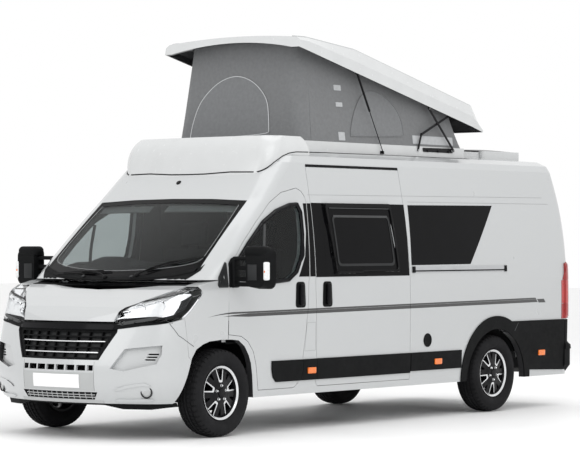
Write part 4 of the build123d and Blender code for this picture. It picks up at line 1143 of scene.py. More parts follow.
def pop_out_window(side, hand):
    """The hinged side window's frame, bead, pane lines and stay."""
    view = from_side(side, "side_windows")
    outer, lip = rounded(POP_OUT_FRAME, 0.035, 4), rounded(POP_OUT_LIP, 0.030, 4)
    ring = frame_ring(f"window_frame_{hand}", view, outer, lip, 0.010, 0.010, 120, 0.002)
    settle(ring, "body", FINISH["frame_black"])
    outer, inner = rounded(POP_OUT_BEAD, 0.045, 4), rounded(POP_OUT_PANE, 0.040, 4)
    bead = frame_ring(f"window_bead_{hand}", view, outer, inner, 0.004, 0.003, 120)
    settle(bead, "body", FINISH["frame_grey"])
    bar = strip_on(f"window_bar_{hand}", view, [(-0.070, 1.842), (0.720, 1.842)], 0.020, 0.006, 0.004, 40)
    settle(bar, "body", FINISH["bar_grey"])
    lip_line = strip_on(f"window_lip_{hand}", view, [(-0.105, 1.913), (0.775, 1.913)], 0.007, 0.011, 0.003, 40)
    settle(lip_line, "body", FINISH["bar_grey"])
    stay_line = [(-0.150, 1.560), (-0.108, 1.780)]
    stay = strip_on(f"window_stay_{hand}", view, stay_line, 0.006, 0.011, 0.004, 8, taper=True)
    settle(stay, "body", FINISH["aluminium"])


def door_window(side, hand, door):
    """The front door window's rubber gasket and its upright divider."""
    view = from_side(side, door, f"front_window_{hand}")
    gasket = frame_ring(f"door_gasket_{hand}", view, list(GASKET_OUTER), list(GASKET_INNER), 0.004, 0.014, 140)
    settle(gasket, door, FINISH["gloss_black"])
    divider = [(1.690, 1.300), (1.682, 1.560), (1.650, 1.770)]
    post = strip_on(f"door_divider_{hand}", view, divider, 0.030, 0.004, 0.012, 12)
    settle(post, door, FINISH["bar_grey"])


def pull_handle(side, hand, x, view, body):
    """A door's upright pull handle in its dark pocket."""
    outline = [(x - 0.070, HANDLE_FOOT), (x + 0.070, HANDLE_FOOT), (x + 0.062, HANDLE_TOP), (x - 0.058, HANDLE_TOP)]
    pocket = pad_on(f"handle_pocket_{hand}_{body}", view, outline, 0.003, 0.004, 0.035, 0.001)
    settle(pocket, body, FINISH["plastic"])
    centre = surface_of(view, x, (HANDLE_FOOT + HANDLE_TOP) / 2)
    low = (x - 0.028, centre.y - 0.014, HANDLE_FOOT + 0.020)
    high = (x + 0.026, centre.y + 0.014, HANDLE_TOP - 0.018)
    grip = block(f"pull_handle_{hand}_{body}", low, high, 0.012, 4)
    moved(grip, (0, side * 0.016, 0))
    settle(grip, body, FINISH["gloss_black"])


def sliding_door_trim(view):
    """The sliding door's rail, its track and end stops, and the seam above the door."""
    rail = strip_on("slide_rail", view, [(RAIL_FRONT, RAIL_Z), (RAIL_REAR, RAIL_Z)], 0.052, 0.007, 0.010, 40)
    settle(rail, "body", FINISH["aluminium"])
    track = strip_on("slide_track", view, [(-0.47, 1.352), (-1.93, 1.352)], 0.012, 0.009, 0.006, 40)
    settle(track, "body", FINISH["gloss_black"])
    for x in (RAIL_FRONT + 0.005, RAIL_REAR - 0.005):
        outline = oblong(x - 0.02, RAIL_Z - 0.030, x + 0.02, RAIL_Z + 0.028)
        end = pad_on(f"rail_end_{int(-x * 100)}", view, outline, 0.011, 0.014, 0.008, 0.001)
        settle(end, "body", FINISH["plastic"])
    seam = strip_on("door_top_seam", view, [(1.008, 2.288), (-0.348, 2.288)], 0.010, 0.002, 0.004, 30)
    settle(seam, "body", FINISH["gloss_black"])


class VAN_OT_side_trim(bpy.types.Operator):
    """Adds the black side film, window frames, slide rail, handles, flap, marker lamps, seam lines and grey strips of
    painted shade along the creases
    """

    bl_idname = "van.side_trim"
    bl_label = "Side trim"

    def execute(self, context):
        for side, hand in HANDS:
            body_node, door = f"body_side_{hand}", f"front_door_{hand}"
            fixed = [body_node] + (["sliding_door"] if side > 0 else [])
            body_view, door_view = from_side(side, *fixed), from_side(side, door)
            settle(film(f"side_film_{hand}", body_view, FLANK_FILM, 0.0015), "body", FINISH["acrylic"])
            rim = film(f"window_rim_{hand}", from_side(side, "side_windows", *fixed), WINDOW_RIM_FILM, 0.0018, 30, 30)
            settle(rim, "body", FINISH["acrylic"])
            settle(film(f"door_film_{hand}", door_view, DOOR_FILM, 0.0015, 8, 8), door, FINISH["acrylic"])
            pop_out_window(side, hand)
            door_window(side, hand, door)
            pull_handle(side, hand, 1.212, door_view, door)
            if side > 0:
                pull_handle(side, hand, 0.834, body_view, "body")
            cladding = from_side(side, body_node, "side_cladding")
            for index, (x, z) in enumerate(MARKER_PLACES):
                outline = oblong(x - 0.056, z - 0.026, x + 0.056, z + 0.026)
                lamp = pad_on(f"marker_{hand}_{index}", cladding, outline, 0.008, 0.010, 0.010, 0.002)
                settle(lamp, "body", FINISH["amber"])
            seams = []
            if side > 0:
                flap = [(0.996, 0.678), (1.150, 0.676), (1.122, 0.922), (1.000, 0.923)]
                rim = [(0.999, 0.681), (1.147, 0.679), (1.119, 0.919), (1.003, 0.920)]
                seams.append(frame_ring("flap_seam", body_view, flap, rim, 0.0006, 0.002, 60))
                sliding_door_trim(body_view)
            arch_line = [(-2.160, 0.838), (-2.100, 0.762)]
            arch_seam = strip_on(f"arch_seam_{hand}", cladding, arch_line, 0.006, 0.0015, 0.003, 12)
            settle(arch_seam, "body", FINISH["bar_grey"])
            rings = [(0.063, -0.010), (0.063, 0.004), (0.056, 0.009), (0.050, 0.007), (0.012, 0.007)]
            cap = turned(f"side_cap_{hand}", rings, surface_of(body_view, -0.671, 0.716), side=side, count=40)
            settle(cap, "body", FINISH["plastic"])
            # Grey strips along the two creases: painted shade in the creases.
            for line in ([(1.03, 2.026), (-2.70, 2.052)], [(-0.44, 1.982), (-2.80, 1.990)]):
                seams.append(strip_on("crease", body_view, line, 0.0035, 0.0008, 0.002, 60))
            settle(joined(f"side_seams_{hand}", seams), "body", FINISH["seam_grey"])
        return {"FINISHED"}


# ---- Nose
BOWL = (
    (0.512, 0.984), (0.556, 1.056), (0.625, 1.114), (0.771, 1.148), (0.890, 1.176), (0.960, 1.194), (1.006, 1.196),
    (1.008, 1.150), (0.985, 1.085), (0.950, 1.028), (0.895, 1.008), (0.720, 0.990),
)
BOWL_END = (
    (2.642, 1.194), (2.630, 1.184), (2.724, 1.140), (2.756, 1.076), (2.792, 1.024), (2.862, 1.004), (2.866, 1.060),
    (2.800, 1.146), (2.722, 1.190),
)
LAMP_CORNER = ((2.722, 1.137), (2.632, 1.176), (2.653, 1.136), (2.714, 1.060), (2.786, 1.022), (2.753, 1.076))
LAMP_BROW = ((0.506, 0.985), (0.552, 1.062), (0.622, 1.122), (0.770, 1.150), (0.902, 1.177), (0.985, 1.200))
LAMP_SILL = ((0.520, 0.977), (0.640, 0.985), (0.780, 0.995), (0.900, 1.002))
GARNISH_END = ((0.545, 0.944), (0.660, 0.962), (0.780, 0.982), (0.885, 1.002))
GRILLE_FOOT, GRILLE_TOP, MESH_PITCH = 0.664, 0.892, 0.059
APRON_HALF = (
    (3.110, 0.0), (
        3.105, 0.100,
    ), (3.083, 0.300), (3.048, 0.450), (2.998, 0.600), (2.905, 0.800), (2.812, 0.900), (2.720, 0.930),
)
APRON = [(x, -y) for x, y in reversed(APRON_HALF)] + list(APRON_HALF[1:])


def grille_x(y, z):
    """The closed face of the grille."""
    return 3.156 - 0.265 * (z - 0.66) - 0.268 * y * y


def grille_reach(z):
    return 0.395 + (z - 0.654) * 0.55


def grille_point(u, v):
    z = GRILLE_FOOT + (GRILLE_TOP - GRILLE_FOOT) * v
    y = (2 * u - 1) * (grille_reach(z) + 0.012)
    return Vector((grille_x(y, z) - 0.030, y, z))


def apron_point(u, v):
    here = along(APRON, u, closed=False)
    drop = level(abs(here.y), ((0.42, 0.018), (0.58, 0.048), (0.80, 0.050), (0.93, 0.030)))
    return Vector((here.x - 0.02 * v, here.y, 0.306 - (drop + 0.004) * v))


def lamp_parts(side, hand):
    """The bright bowl, dark corner, dark edges and rings inside a headlamp."""
    view, side_view = seen_from(FROM_FRONT, "headlamps"), from_side(side, "headlamps")
    bowl = pad_on(f"lamp_bowl_{hand}", view, sided(side, BOWL), -0.014, 0.002, 0.02)
    settle(bowl, "body", FINISH["reflector"])
    bowl_end = pad_on(f"lamp_bowl_end_{hand}", side_view, BOWL_END, -0.010, 0.002, 0.006)
    settle(bowl_end, "body", FINISH["reflector"])
    dark = pad_on(f"lamp_corner_{hand}", side_view, LAMP_CORNER, -0.004, 0.002, 0.006)
    settle(dark, "body", FINISH["frame_grey"])
    brow = strip_on(f"lamp_brow_{hand}", view, sided(side, LAMP_BROW), 0.010, 0.0012, 0.003, 60)
    settle(brow, "body", FINISH["gloss_black"])
    garnish_view = seen_from(FROM_FRONT, "front_bumper", "grille", "headlamps")
    garnish = strip_on(
        f"garnish_end_{hand}", garnish_view, sided(side, GARNISH_END), 0.026, 0.003, 0.004, 40, taper=True
    )
    settle(garnish, "body", FINISH["bar_grey"])
    sill = strip_on(f"lamp_sill_{hand}", view, sided(side, LAMP_SILL), 0.022, 0.0012, 0.003, 60, taper=True)
    settle(sill, "body", FINISH["gloss_black"])
    for index, (y, z, radius) in enumerate(((0.700, 1.062, 0.052), (0.850, 1.090, 0.050), (0.600, 1.030, 0.030))):
        point = surface_of(view, side * y, z)
        shares = ((1, -0.020), (1, 0.0), (0.92, 0.004), (0.86, -0.006), (0.5, -0.016), (0.2, -0.018))
        rings = [(radius * share, reach) for share, reach in shares]
        ring = turned(f"lamp_ring_{hand}_{index}", rings, ORIGIN, axis="X", count=40)
        moved(ring, (point.x - 0.020, point.y, point.z), -8, side * 18)
        settle(ring, "body", FINISH["chrome"])


def grille_parts():
    """The mesh behind the grille, its upright ribs and its two bright bars."""
    mesh = surface("grille_mesh", 40, 14, grille_point)
    settle(walled(mesh, 0.003), "body", FINISH["frame_grey"])
    ribs = []
    for step in range(-7, 8, 2):
        y = step * MESH_PITCH
        low, high = max(0.671, 0.660 + (abs(y) - 0.395) / 0.55), 0.884
        foot, top = grille_x(y, low), grille_x(y, high)
        edge = [(foot - 0.004, low), (top - 0.004, high), (top - 0.028, high), (foot - 0.028, low)]
        ribs.append(side_plate("rib", edge, y - 0.005, 0.010))
    settle(joined("grille_ribs", ribs), "body", FINISH["plastic"])
    bars = []
    for z, reach in ((0.8030, 0.462), (0.7140, 0.412)):

        def bar_point(u, v):
            y = (2 * u - 1) * reach
            return Vector((grille_x(y, z) + 0.006, y, z + (v - 0.5) * 0.009))

        bars.append(walled(surface("bar", 60, 2, bar_point), 0.007, 0.0012))
    settle(joined("grille_bars", bars), "body", FINISH["chrome"])


def plate_parts(nose):
    """The grey plate panel, the blank plate, the mesh under it and the pale lip."""
    panel = film("plate_panel", nose, [oblong(-0.394, 0.402, 0.394, 0.550)], 0.0015, 60, 8)
    settle(panel, "body", FINISH["panel_grey"])
    plate = surface(
        "front_plate", 24, 8, lambda u, v: surface_of(nose, (2 * u - 1) * 0.258, 0.424 + 0.110 * v, 0.008),
    )
    settle(walled(plate, 0.006, 0.002), "body", FINISH["plate_white"])
    lower = seen_from(FROM_FRONT, "grille")
    bars = [strip_on("bar", lower, [(-0.385, z), (0.385, z)], 0.006, 0.005, 0.005, 60) for z in (0.350, 0.370)]
    for step in range(-6, 7):
        y = step * MESH_PITCH
        bars.append(strip_on("bar", lower, [(y, 0.334), (y, 0.388)], 0.005, 0.004, 0.004, 6))
    settle(joined("lower_mesh_bars", bars), "body", FINISH["lip_grey"])
    lip = surface("pale_lip", 60, 4, lambda u, v: surface_of(nose, (2 * u - 1) * 0.455, 0.303 + 0.022 * v, 0.004))
    settle(walled(lip, 0.005, 0.001), "body", FINISH["lip_grey"])


def fog_lamp(side, hand, nose):
    """A fog lamp's ring and lens, with the ridges above and below it."""
    brow_line = sided(side, ((0.570, 0.408), (0.680, 0.444), (0.811, 0.464), (0.866, 0.450)))
    brow = strip_on(f"fog_brow_{hand}", nose, brow_line, 0.022, 0.008, 0.008, 40, taper=True)
    settle(brow, "body", FINISH["paint"], angle=70)
    shelf_line = sided(side, ((0.560, 0.330), (0.700, 0.330), (0.858, 0.340)))
    shelf = strip_on(f"fog_shelf_{hand}", nose, shelf_line, 0.024, 0.012, 0.012, 40, taper=True)
    settle(shelf, "body", FINISH["paint"], angle=70)
    middle = surface_of(nose, side * 0.822, 0.399)
    rings = [(0.050, -0.030), (0.050, 0.002), (0.046, 0.006), (0.040, 0.004), (0.039, -0.008)]
    ring = turned(f"fog_ring_{hand}", rings, ORIGIN, axis="X", count=48, caps=False)
    settle(moved(ring, middle, 0, side * 24), "body", FINISH["frame_grey"])
    rings = [(0.0395, -0.012), (0.0395, -0.004), (0.030, 0.001), (0.014, 0.004)]
    lens = turned(f"fog_lens_{hand}", rings, ORIGIN, axis="X", count=48)
    settle(moved(lens, middle, 0, side * 24), "body", FINISH["panel_grey"])


class VAN_OT_nose(bpy.types.Operator):
    """Adds the grille bars, garnish, lamps' insides, plate, lower mesh, fog lamps and nose seams"""

    bl_idname = "van.nose"
    bl_label = "Nose"

    def execute(self, context):
        nose = seen_from(FROM_FRONT, "front_bumper", "grille", "bonnet", "headlamps", "front_wings")
        grille_parts()
        band_sheet = ((-0.545, 0.903), (0.545, 0.903), (0.500, 0.957), (-0.500, 0.957))
        settle(film("garnish_band", nose, [band_sheet], 0.0015, 60, 4), "body", FINISH["gloss_black"])
        plate_parts(nose)
        settle(walled(surface("under_apron", 90, 4, apron_point), 0.004), "body", FINISH["plastic"])
        for side, hand in HANDS:
            lamp_parts(side, hand)
            fog_lamp(side, hand, nose)
            corner_view = from_side(side, "front_bumper", "front_wings", "headlamps")
            line = [(2.843, 0.984), (2.814, 0.927), (2.771, 0.856), (2.679, 0.797), (2.610, 0.762)]
            seam = strip_on(f"bumper_seam_{hand}", corner_view, line, 0.004, 0.0008, 0.002, 40)
            settle(seam, "body", FINISH["frame_black"])
        return {"FINISHED"}


# ---- Windscreen, cowl and wipers
GLASS_EDGE = (
    (1.285, 0.20), (1.292, 0.27), (1.322, 0.676), (1.362, 0.846), (1.400, 0.867), (1.450, 0.868), (1.500, 0.864),
    (1.600, 0.856), (1.700, 0.852), (1.800, 0.844), (1.900, 0.840), (1.965, 0.832),
)
FRIT_TOP = ((0.0, 1.368), (0.30, 1.376), (0.55, 1.392), (0.78, 1.432), (0.87, 1.470))
GLASS_FOOT = ((0.0, 1.285), (0.244, 1.292), (0.676, 1.322), (0.848, 1.362), (0.866, 1.395))
CORNER_FOOT = ((0.300, 1.262), (0.676, 1.276), (0.816, 1.304), (0.850, 1.335), (0.890, 1.378))
CORNER_TOP = ((0.300, 1.298), (0.560, 1.316), (0.676, 1.326), (0.848, 1.366), (0.868, 1.400), (0.890, 1.430))
# Pivot, knee and tip of the arm, then the two ends of the blade, as Y, Z on the glass.
WIPERS = (
    ("right", (-0.016, 1.311), (-0.100, 1.345), (-0.300, 1.352), (0.000, 1.362), (-0.640, 1.334)),
    ("left", (0.314, 1.330), (0.430, 1.392), (0.600, 1.442), (0.373, 1.372), (0.845, 1.486)),
)


def seal_line():
    """The pale line inside the windscreen's black border, down one side, across and up the other."""
    inset = ((1.45, 0.036), (1.60, 0.028), (1.82, 0.038), (1.96, 0.054))
    left = [(level(z, GLASS_EDGE) - level(z, inset), z) for z in (1.930, 1.820, 1.713, 1.600, 1.500, 1.475)]
    foot = [(y, level(abs(y), FRIT_TOP) + 0.004) for y in (0.78, 0.60, 0.40, 0.20, 0.0, -0.20, -0.40, -0.60, -0.78)]
    return left + foot + [(-y, z) for y, z in reversed(left)]


def glass_border(glass):
    """The glass's black printed border: along the top, down both sides and across the foot."""

    def top_point(u, v):
        across = 2 * u - 1
        return surface_of(glass, across * 0.828, 1.989 - 0.030 * across**2 - 0.034 * v, 0.0012)

    def foot_point(u, v):
        y = (2 * u - 1) * 0.862
        low = level(abs(y), GLASS_FOOT) + 0.004
        return surface_of(glass, y, low + (level(abs(y), FRIT_TOP) - low) * v, 0.0012)

    frit = [surface("frit", 80, 3, top_point)]
    for side in (1, -1):

        def edge_point(u, v):
            z = 1.330 + 0.630 * u
            reach = level(z, GLASS_EDGE) - 0.003
            width = level(z, ((1.33, 0.040), (1.45, 0.030), (1.60, 0.024), (1.82, 0.034), (1.96, 0.050)))
            return surface_of(glass, side * (reach - width * v), z, 0.0012)

        frit.append(surface("frit", 60, 3, edge_point))
    frit.append(surface("frit", 100, 6, foot_point))
    for piece in frit:
        walled(piece, 0.0008)
    return joined("glass_border", frit)


def wiper(name, pivot, knee, tip, start, end, glass):
    """A wiper: its bent arm, the blade with its spine, the boss on the pivot and the clip."""

    def blade_point(share, rise, proud):
        y, z = Vector(start).lerp(Vector(end), share)
        return surface_of(glass, y, z + rise, proud)

    bend = [surface_of(glass, *place, proud) for place, proud in ((pivot, 0.020), (knee, 0.030), (tip, 0.022))]
    arm = piped(f"wiper_arm_{name}", bend, 0.0065)
    blade = piped("blade", [blade_point(t / 8, 0, 0.010) for t in range(9)], 0.0055)
    spine = piped("spine", [blade_point(t / 8, 0.004, 0.018 + 0.006 * sin(pi * t / 8)) for t in range(1, 8)], 0.0045)
    boss = turned(
        "boss", [(0.022, -0.016), (0.022, 0.010), (0.018, 0.016), (0.008, 0.018)], ORIGIN, axis="X", count=24,
    )
    moved(boss, surface_of(glass, *pivot, 0.012), -40)
    point, half = surface_of(glass, *tip, 0.020), Vector((0.012, 0.030, 0.008))
    clip = block("clip", point - half, point + half, 0.004)
    return joined(f"wiper_{name}", [arm, blade, spine, boss, clip])


class VAN_OT_windscreen_trim(bpy.types.Operator):
    """Adds the windscreen's black border, sun visors, cowl cover, wipers and washer jets"""

    bl_idname = "van.windscreen_trim"
    bl_label = "Windscreen trim"

    def execute(self, context):
        glass = seen_from(FROM_FRONT, "windscreen")
        settle(glass_border(glass), "body", FINISH["frit"])
        seal = piped("glass_seal", [surface_of(glass, y, z, 0.002) for y, z in seal_line()], 0.0022)
        settle(seal, "body", FINISH["seam_grey"])
        for name, low, high in (("visor_right", -0.80, -0.20), ("visor_left", -0.02, 0.74)):

            def visor_point(u, v):
                y = low + (high - low) * u
                return surface_of(glass, y, 1.902 + 0.052 * v - 0.012 * y**2, -0.030)

            visor = walled(surface(name, 24, 4, visor_point), 0.012, 0.004)
            settle(visor, "body", FINISH["visor_grey"])

        def cover_point(u, v):
            y = (2 * u - 1) * 0.846
            low = level(abs(y), GLASS_FOOT) + 0.002
            lift = 0.010 if 0.1 < v < 0.9 else 0.003
            return surface_of(glass, y, low + 0.036 * v, lift)

        settle(walled(surface("cowl_cover", 100, 6, cover_point), 0.003), "body", FINISH["plastic"])
        for side, hand in HANDS:
            skin = seen_from(FROM_FRONT, f"body_side_{hand}", "cowl", "front_wings", "windscreen")

            def corner_point(u, v):
                y = 0.300 + 0.590 * u
                low, high = level(y, CORNER_FOOT), level(y, CORNER_TOP)
                return surface_of(skin, side * y, low + (high - low) * v, 0.003)

            corner = walled(surface(f"cowl_corner_{hand}", 30, 5, corner_point), 0.003)
            settle(corner, "body", FINISH["plastic"])
            outline = sided(side, ((0.258, 1.306), (0.290, 1.306), (0.286, 1.322), (0.262, 1.322)))
            jet = pad_on(f"washer_jet_{hand}", glass, outline, 0.024, 0.018, 0.004, 0.002)
            settle(jet, "body", FINISH["frame_grey"])
        for places in WIPERS:
            settle(wiper(*places, glass), "body", FINISH["frame_black"])
        return {"FINISHED"}


# ---- Mirrors
# Each part of a door mirror: its two corners, the softness of its edges, its finish and the steps of its edges.
MIRROR_PARTS = {
    "mirror_crown": ((2.070, 1.185, 1.492), (2.196, 1.418, 1.582), 0.040, "plastic", 6),
    "mirror_arm_upper": ((2.086, 1.030, 1.462), (2.142, 1.230, 1.496), 0.014, "plastic", 4),
    "mirror_arm_lower": ((2.086, 1.030, 1.246), (2.142, 1.230, 1.284), 0.014, "plastic", 4),
    "mirror_foot": ((2.066, 1.012, 1.236), (2.150, 1.066, 1.486), 0.018, "plastic", 4),
    "mirror_panel": ((2.182, 1.240, 1.300), (2.190, 1.336, 1.430), 0.003, "frame_grey", 2),
    "indicator": ((2.140, 1.404, 1.300), (2.192, 1.444, 1.452), 0.014, "lens_white", 4),
    "indicator_dot": ((2.168, 1.414, 1.362), (2.1935, 1.430, 1.382), 0.004, "amber", 2),
    "mirror_glass": ((2.0600, 1.240, 1.345), (2.0655, 1.412, 1.548), 0.002, "mirror", 2),
    "mirror_wide_glass": ((2.0600, 1.240, 1.250), (2.0655, 1.412, 1.328), 0.002, "mirror", 2),
    "mirror_divider": ((2.0585, 1.232, 1.331), (2.0655, 1.420, 1.342), 0.002, "frame_black", 2),
}
SAIL = ((2.040, 1.238), (2.168, 1.238), (2.168, 1.440), (2.130, 1.478))
SAIL_FRONT = ((2.190, 1.238), (2.304, 1.238), (2.320, 1.262), (2.297, 1.326), (2.200, 1.448), (2.190, 1.440))


class VAN_OT_mirrors(bpy.types.Operator):
    """Adds the door mirrors' arms, sails, covers, glasses and indicators"""

    bl_idname = "van.mirrors"
    bl_label = "Door mirrors"

    def execute(self, context):
        for side, hand in HANDS:
            door = f"front_door_{hand}"
            for name, ((x0, y0, z0), (x1, y1, z1), softness, finish, steps) in MIRROR_PARTS.items():
                near, far = sorted((side * y0, side * y1))
                piece = block(f"{name}_{hand}", (x0, near, z0), (x1, far, z1), softness, steps)
                settle(piece, door, FINISH[finish], angle=50)
            sail = side_plate(f"mirror_sail_{hand}", rounded(SAIL, 0.016, 3), side * 1.000, side * 0.034)
            bevelled(sail, 0.008, 3)
            settle(sail, door, FINISH["plastic"])
            view = from_side(side, f"body_side_{hand}", "front_wings", door)
            tip = pad_on(f"sail_front_{hand}", view, SAIL_FRONT, 0.010, 0.009, 0.010, 0.003)
            settle(tip, "body", FINISH["frame_grey"])
        return {"FINISHED"}


# ---- Cab
SEAT_HALF = 0.195
CUSHION = (
    (1.050, 0.856), (1.565, 0.856), (1.592, 0.955), (1.562, 0.994), (1.300, 0.972), (1.180, 0.966), (1.070, 0.960),
)
BACK = (
    (1.040, 0.930), (1.196, 0.965), (1.130, 1.240), (1.072, 1.500), (1.012, 1.566), (0.956, 1.542), (0.990, 1.240),
)
HEADREST = ((1.004, 1.588), (0.938, 1.588), (0.902, 1.782), (0.938, 1.802), (0.978, 1.790))
# Each pad: its side outline with the rounding, half width, smoothing steps and the places of its sewn channels.
SEAT_PADS = {
    "cushion": (rounded(CUSHION, 0.03, 3), 0.250, 8, (-0.145, 0.145)),
    "back": (rounded(BACK, 0.03, 3), 0.248, 8, (-0.135, 0.135)),
    "headrest": (rounded(HEADREST, 0.02, 3), 0.130, 6, ()),
}


def smoothed(piece, voxel, steps):
    """Remeshes a closed form evenly and softens it."""
    modifier = piece.modifiers.new("Even", "REMESH")
    modifier.mode = "VOXEL"
    modifier.voxel_size = voxel
    modifier = piece.modifiers.new("Soft", "SMOOTH")
    modifier.iterations = steps
    modifier.factor = 0.5
    apply_all(piece)
    return piece


def seat_base(centre, hand):
    """The seat's box and the two posts of its headrest."""
    base = block("base", (1.125, centre - SEAT_HALF, 0.621), (1.535, centre + SEAT_HALF, 0.862), 0.025, 3)
    posts = [
        block(
            "post", (0.957, y - 0.007, 1.530), (0.971, y + 0.007, 1.602), 0.004,
        ) for y in (centre - 0.06, centre + 0.06)
    ]
    return joined(f"seat_base_{hand}", [base, *posts])


def seat_pad(name, hand, centre):
    """A padded piece: crowned between its edges, and drawn in along its sewn channels."""
    outline, half, steps, seams = SEAT_PADS[name]
    pad = smoothed(side_plate(f"seat_{name}_{hand}", outline, centre - half, 2 * half), 0.012, steps)
    for vertex in pad.data.vertices:
        offset = vertex.co.y - centre
        pinch = sum(0.008 * exp(-(((offset - seam) / 0.010) ** 2)) for seam in seams)
        crown = 0.010 * (1 - (offset / half) ** 2)
        if name == "cushion" and vertex.co.z > 0.93:
            vertex.co.z += crown - pinch
        elif name != "cushion" and vertex.normal.x > 0.3:
            vertex.co.x += crown - pinch
    return pad


def dash_point(u, v):
    """The dash top, with the hood over the instruments in front of the driver."""
    y = (2 * u - 1) * 0.810
    hood = 0.050 * exp(-(((y + 0.400) / 0.190) ** 4))
    top = level(v, ((0.0, 1.300), (0.30, 1.415), (0.50, 1.440), (0.95, 1.445), (1.0, 1.290)))
    return Vector((2.340 - 0.560 * v, y, top + hood * sin(pi * v)))


def driver_wheel():
    """The steering wheel on its column: rim, hub and three spokes, made flat and then tilted."""
    clear_selection()
    bpy.ops.mesh.primitive_torus_add(
        major_radius=0.185, minor_radius=0.0165, major_segments=72, minor_segments=14, location=ORIGIN
    )
    rim = named("rim")
    hub = turned("hub", [(0.070, -0.020), (0.074, 0.004), (0.060, 0.022), (0.020, 0.028)], ORIGIN, axis="Z", count=36)
    spokes = [
        block("spoke", low, high, 0.006)
        for low, high in (
            ((-0.022, 0.05, -0.010), (0.022, 0.180, 0.010)),
            ((-0.022, -0.180, -0.010), (0.022, -0.05, 0.010)),
            ((0.05, -0.020, -0.010), (0.180, 0.020, 0.010)),
        )
    ]
    column = turned("column", [(0.034, -0.118), (0.036, -0.02)], ORIGIN, axis="Z", count=24)
    wheel = joined("cab_steering_wheel", [rim, hub, column, *spokes])
    wheel.matrix_world = Matrix.Translation((1.740, -0.400, 1.180)) @ Matrix.Rotation(radians(-28), 4, "Y")
    return wheel


class VAN_OT_cab(bpy.types.Operator):
    """Makes the padded cab seats, the dash top with its hood and the steering wheel"""

    bl_idname = "van.cab"
    bl_label = "Cab"

    def execute(self, context):
        for centre, hand in ((-0.400, "right"), (0.400, "left")):
            settle(seat_base(centre, hand), "body", FINISH["cabin"], instead_of=("cab_seats",))
            for name in SEAT_PADS:
                pad = settle(seat_pad(name, hand, centre), "body", FINISH["seat"], angle=70)
        shelf = walled(surface("dash_top", 80, 24, dash_point), 0.02)
        settle(shelf, "body", FINISH["cabin"], angle=60)
        settle(
            driver_wheel(), "body", FINISH["cabin"], angle=40,
            instead_of=("steering_wheel",),
        )
        return {"FINISHED"}


# ---- Tail
PANE = ((0.120, 1.330), (0.770, 1.330), (0.735, 1.960), (0.120, 1.975))
GASKET_IN = ((0.140, 1.350), (0.748, 1.350), (0.716, 1.942), (0.140, 1.956))
GASKET_OUT = ((0.112, 1.322), (0.778, 1.322), (0.743, 1.968), (0.112, 1.984))
LAMP_BANDS = ((0.862, 1.010, "red_lens"), (1.014, 1.240, "rose_lens"), (1.244, 1.420, "red_lens"))
LAMP_REAR = -3.060


def rear_door_parts(side, hand):
    """A rear door's pane with its gasket, its three hinges and grey strips of painted shade along its press lines."""
    door = f"rear_door_{hand}"
    view = seen_from(FROM_BEHIND, door)
    pane = pad_on(f"rear_pane_{hand}", view, sided(side, PANE), 0.003, 0.003, 0.060)
    settle(pane, door, FINISH["acrylic"])
    inner, outer = rounded(sided(side, GASKET_IN), 0.05, 5), rounded(sided(side, GASKET_OUT), 0.06, 5)
    ring = frame_ring(f"rear_gasket_{hand}", view, outer, inner, 0.006, 0.006, 120, 0.001)
    settle(ring, door, FINISH["plastic"])
    hinges = []
    for z in (0.780, 1.450, 2.120):
        point = surface_of(view, side * 0.868, z, 0.004)
        leaf = block("leaf", point - Vector((0.008, 0.045, 0.028)), point + Vector((0.010, 0.030, 0.028)), 0.006, 3)
        rings = [(0.009, -0.036), (0.0105, -0.034), (0.0105, 0.034), (0.009, 0.036)]
        pin = turned("pin", rings, (point.x - 0.002, point.y + side * 0.026, z), axis="Z", count=20)
        hinges += [leaf, pin]
    settle(joined(f"rear_hinges_{hand}", hinges), door, FINISH["frame_black"])
    # Grey strips along the press lines: painted shade in the creases.
    seams = [
        strip_on("press", view, [(side * 0.10, z), (side * 0.80, z)], 0.006, 0.001, 0.002, 20) for z in (1.285, 2.050)
    ]
    settle(joined(f"rear_press_lines_{hand}", seams), door, FINISH["seam_grey"])


def tail_corner(side, hand):
    """The tail lamp's sections on the corner, and the black panel under them."""
    view = from_side(side, f"body_side_{hand}", "tail_lamps")
    for index, (low, high, finish) in enumerate(LAMP_BANDS):
        front = level((low + high) / 2, ((0.9, -2.950), (1.30, -2.952), (1.42, -3.010)))
        top_front = level(high, ((1.30, -2.950), (1.42, -3.030)))
        sheet = [((front, low), (LAMP_REAR, low), (LAMP_REAR, high), (top_front, high))]
        settle(film(f"lamp_band_{hand}_{index}", view, sheet, 0.005, 8, 6), "body", FINISH[finish])
    view = from_side(side, f"body_side_{hand}", "side_cladding", "rear_bumper")
    sheet = ((-3.000, 0.560), (-3.120, 0.560), (-3.120, 0.852), (-3.000, 0.852))
    settle(
        film(f"bumper_corner_{hand}", view, [sheet], 0.010, 10, 8), "body",
        FINISH["plastic"],
    )


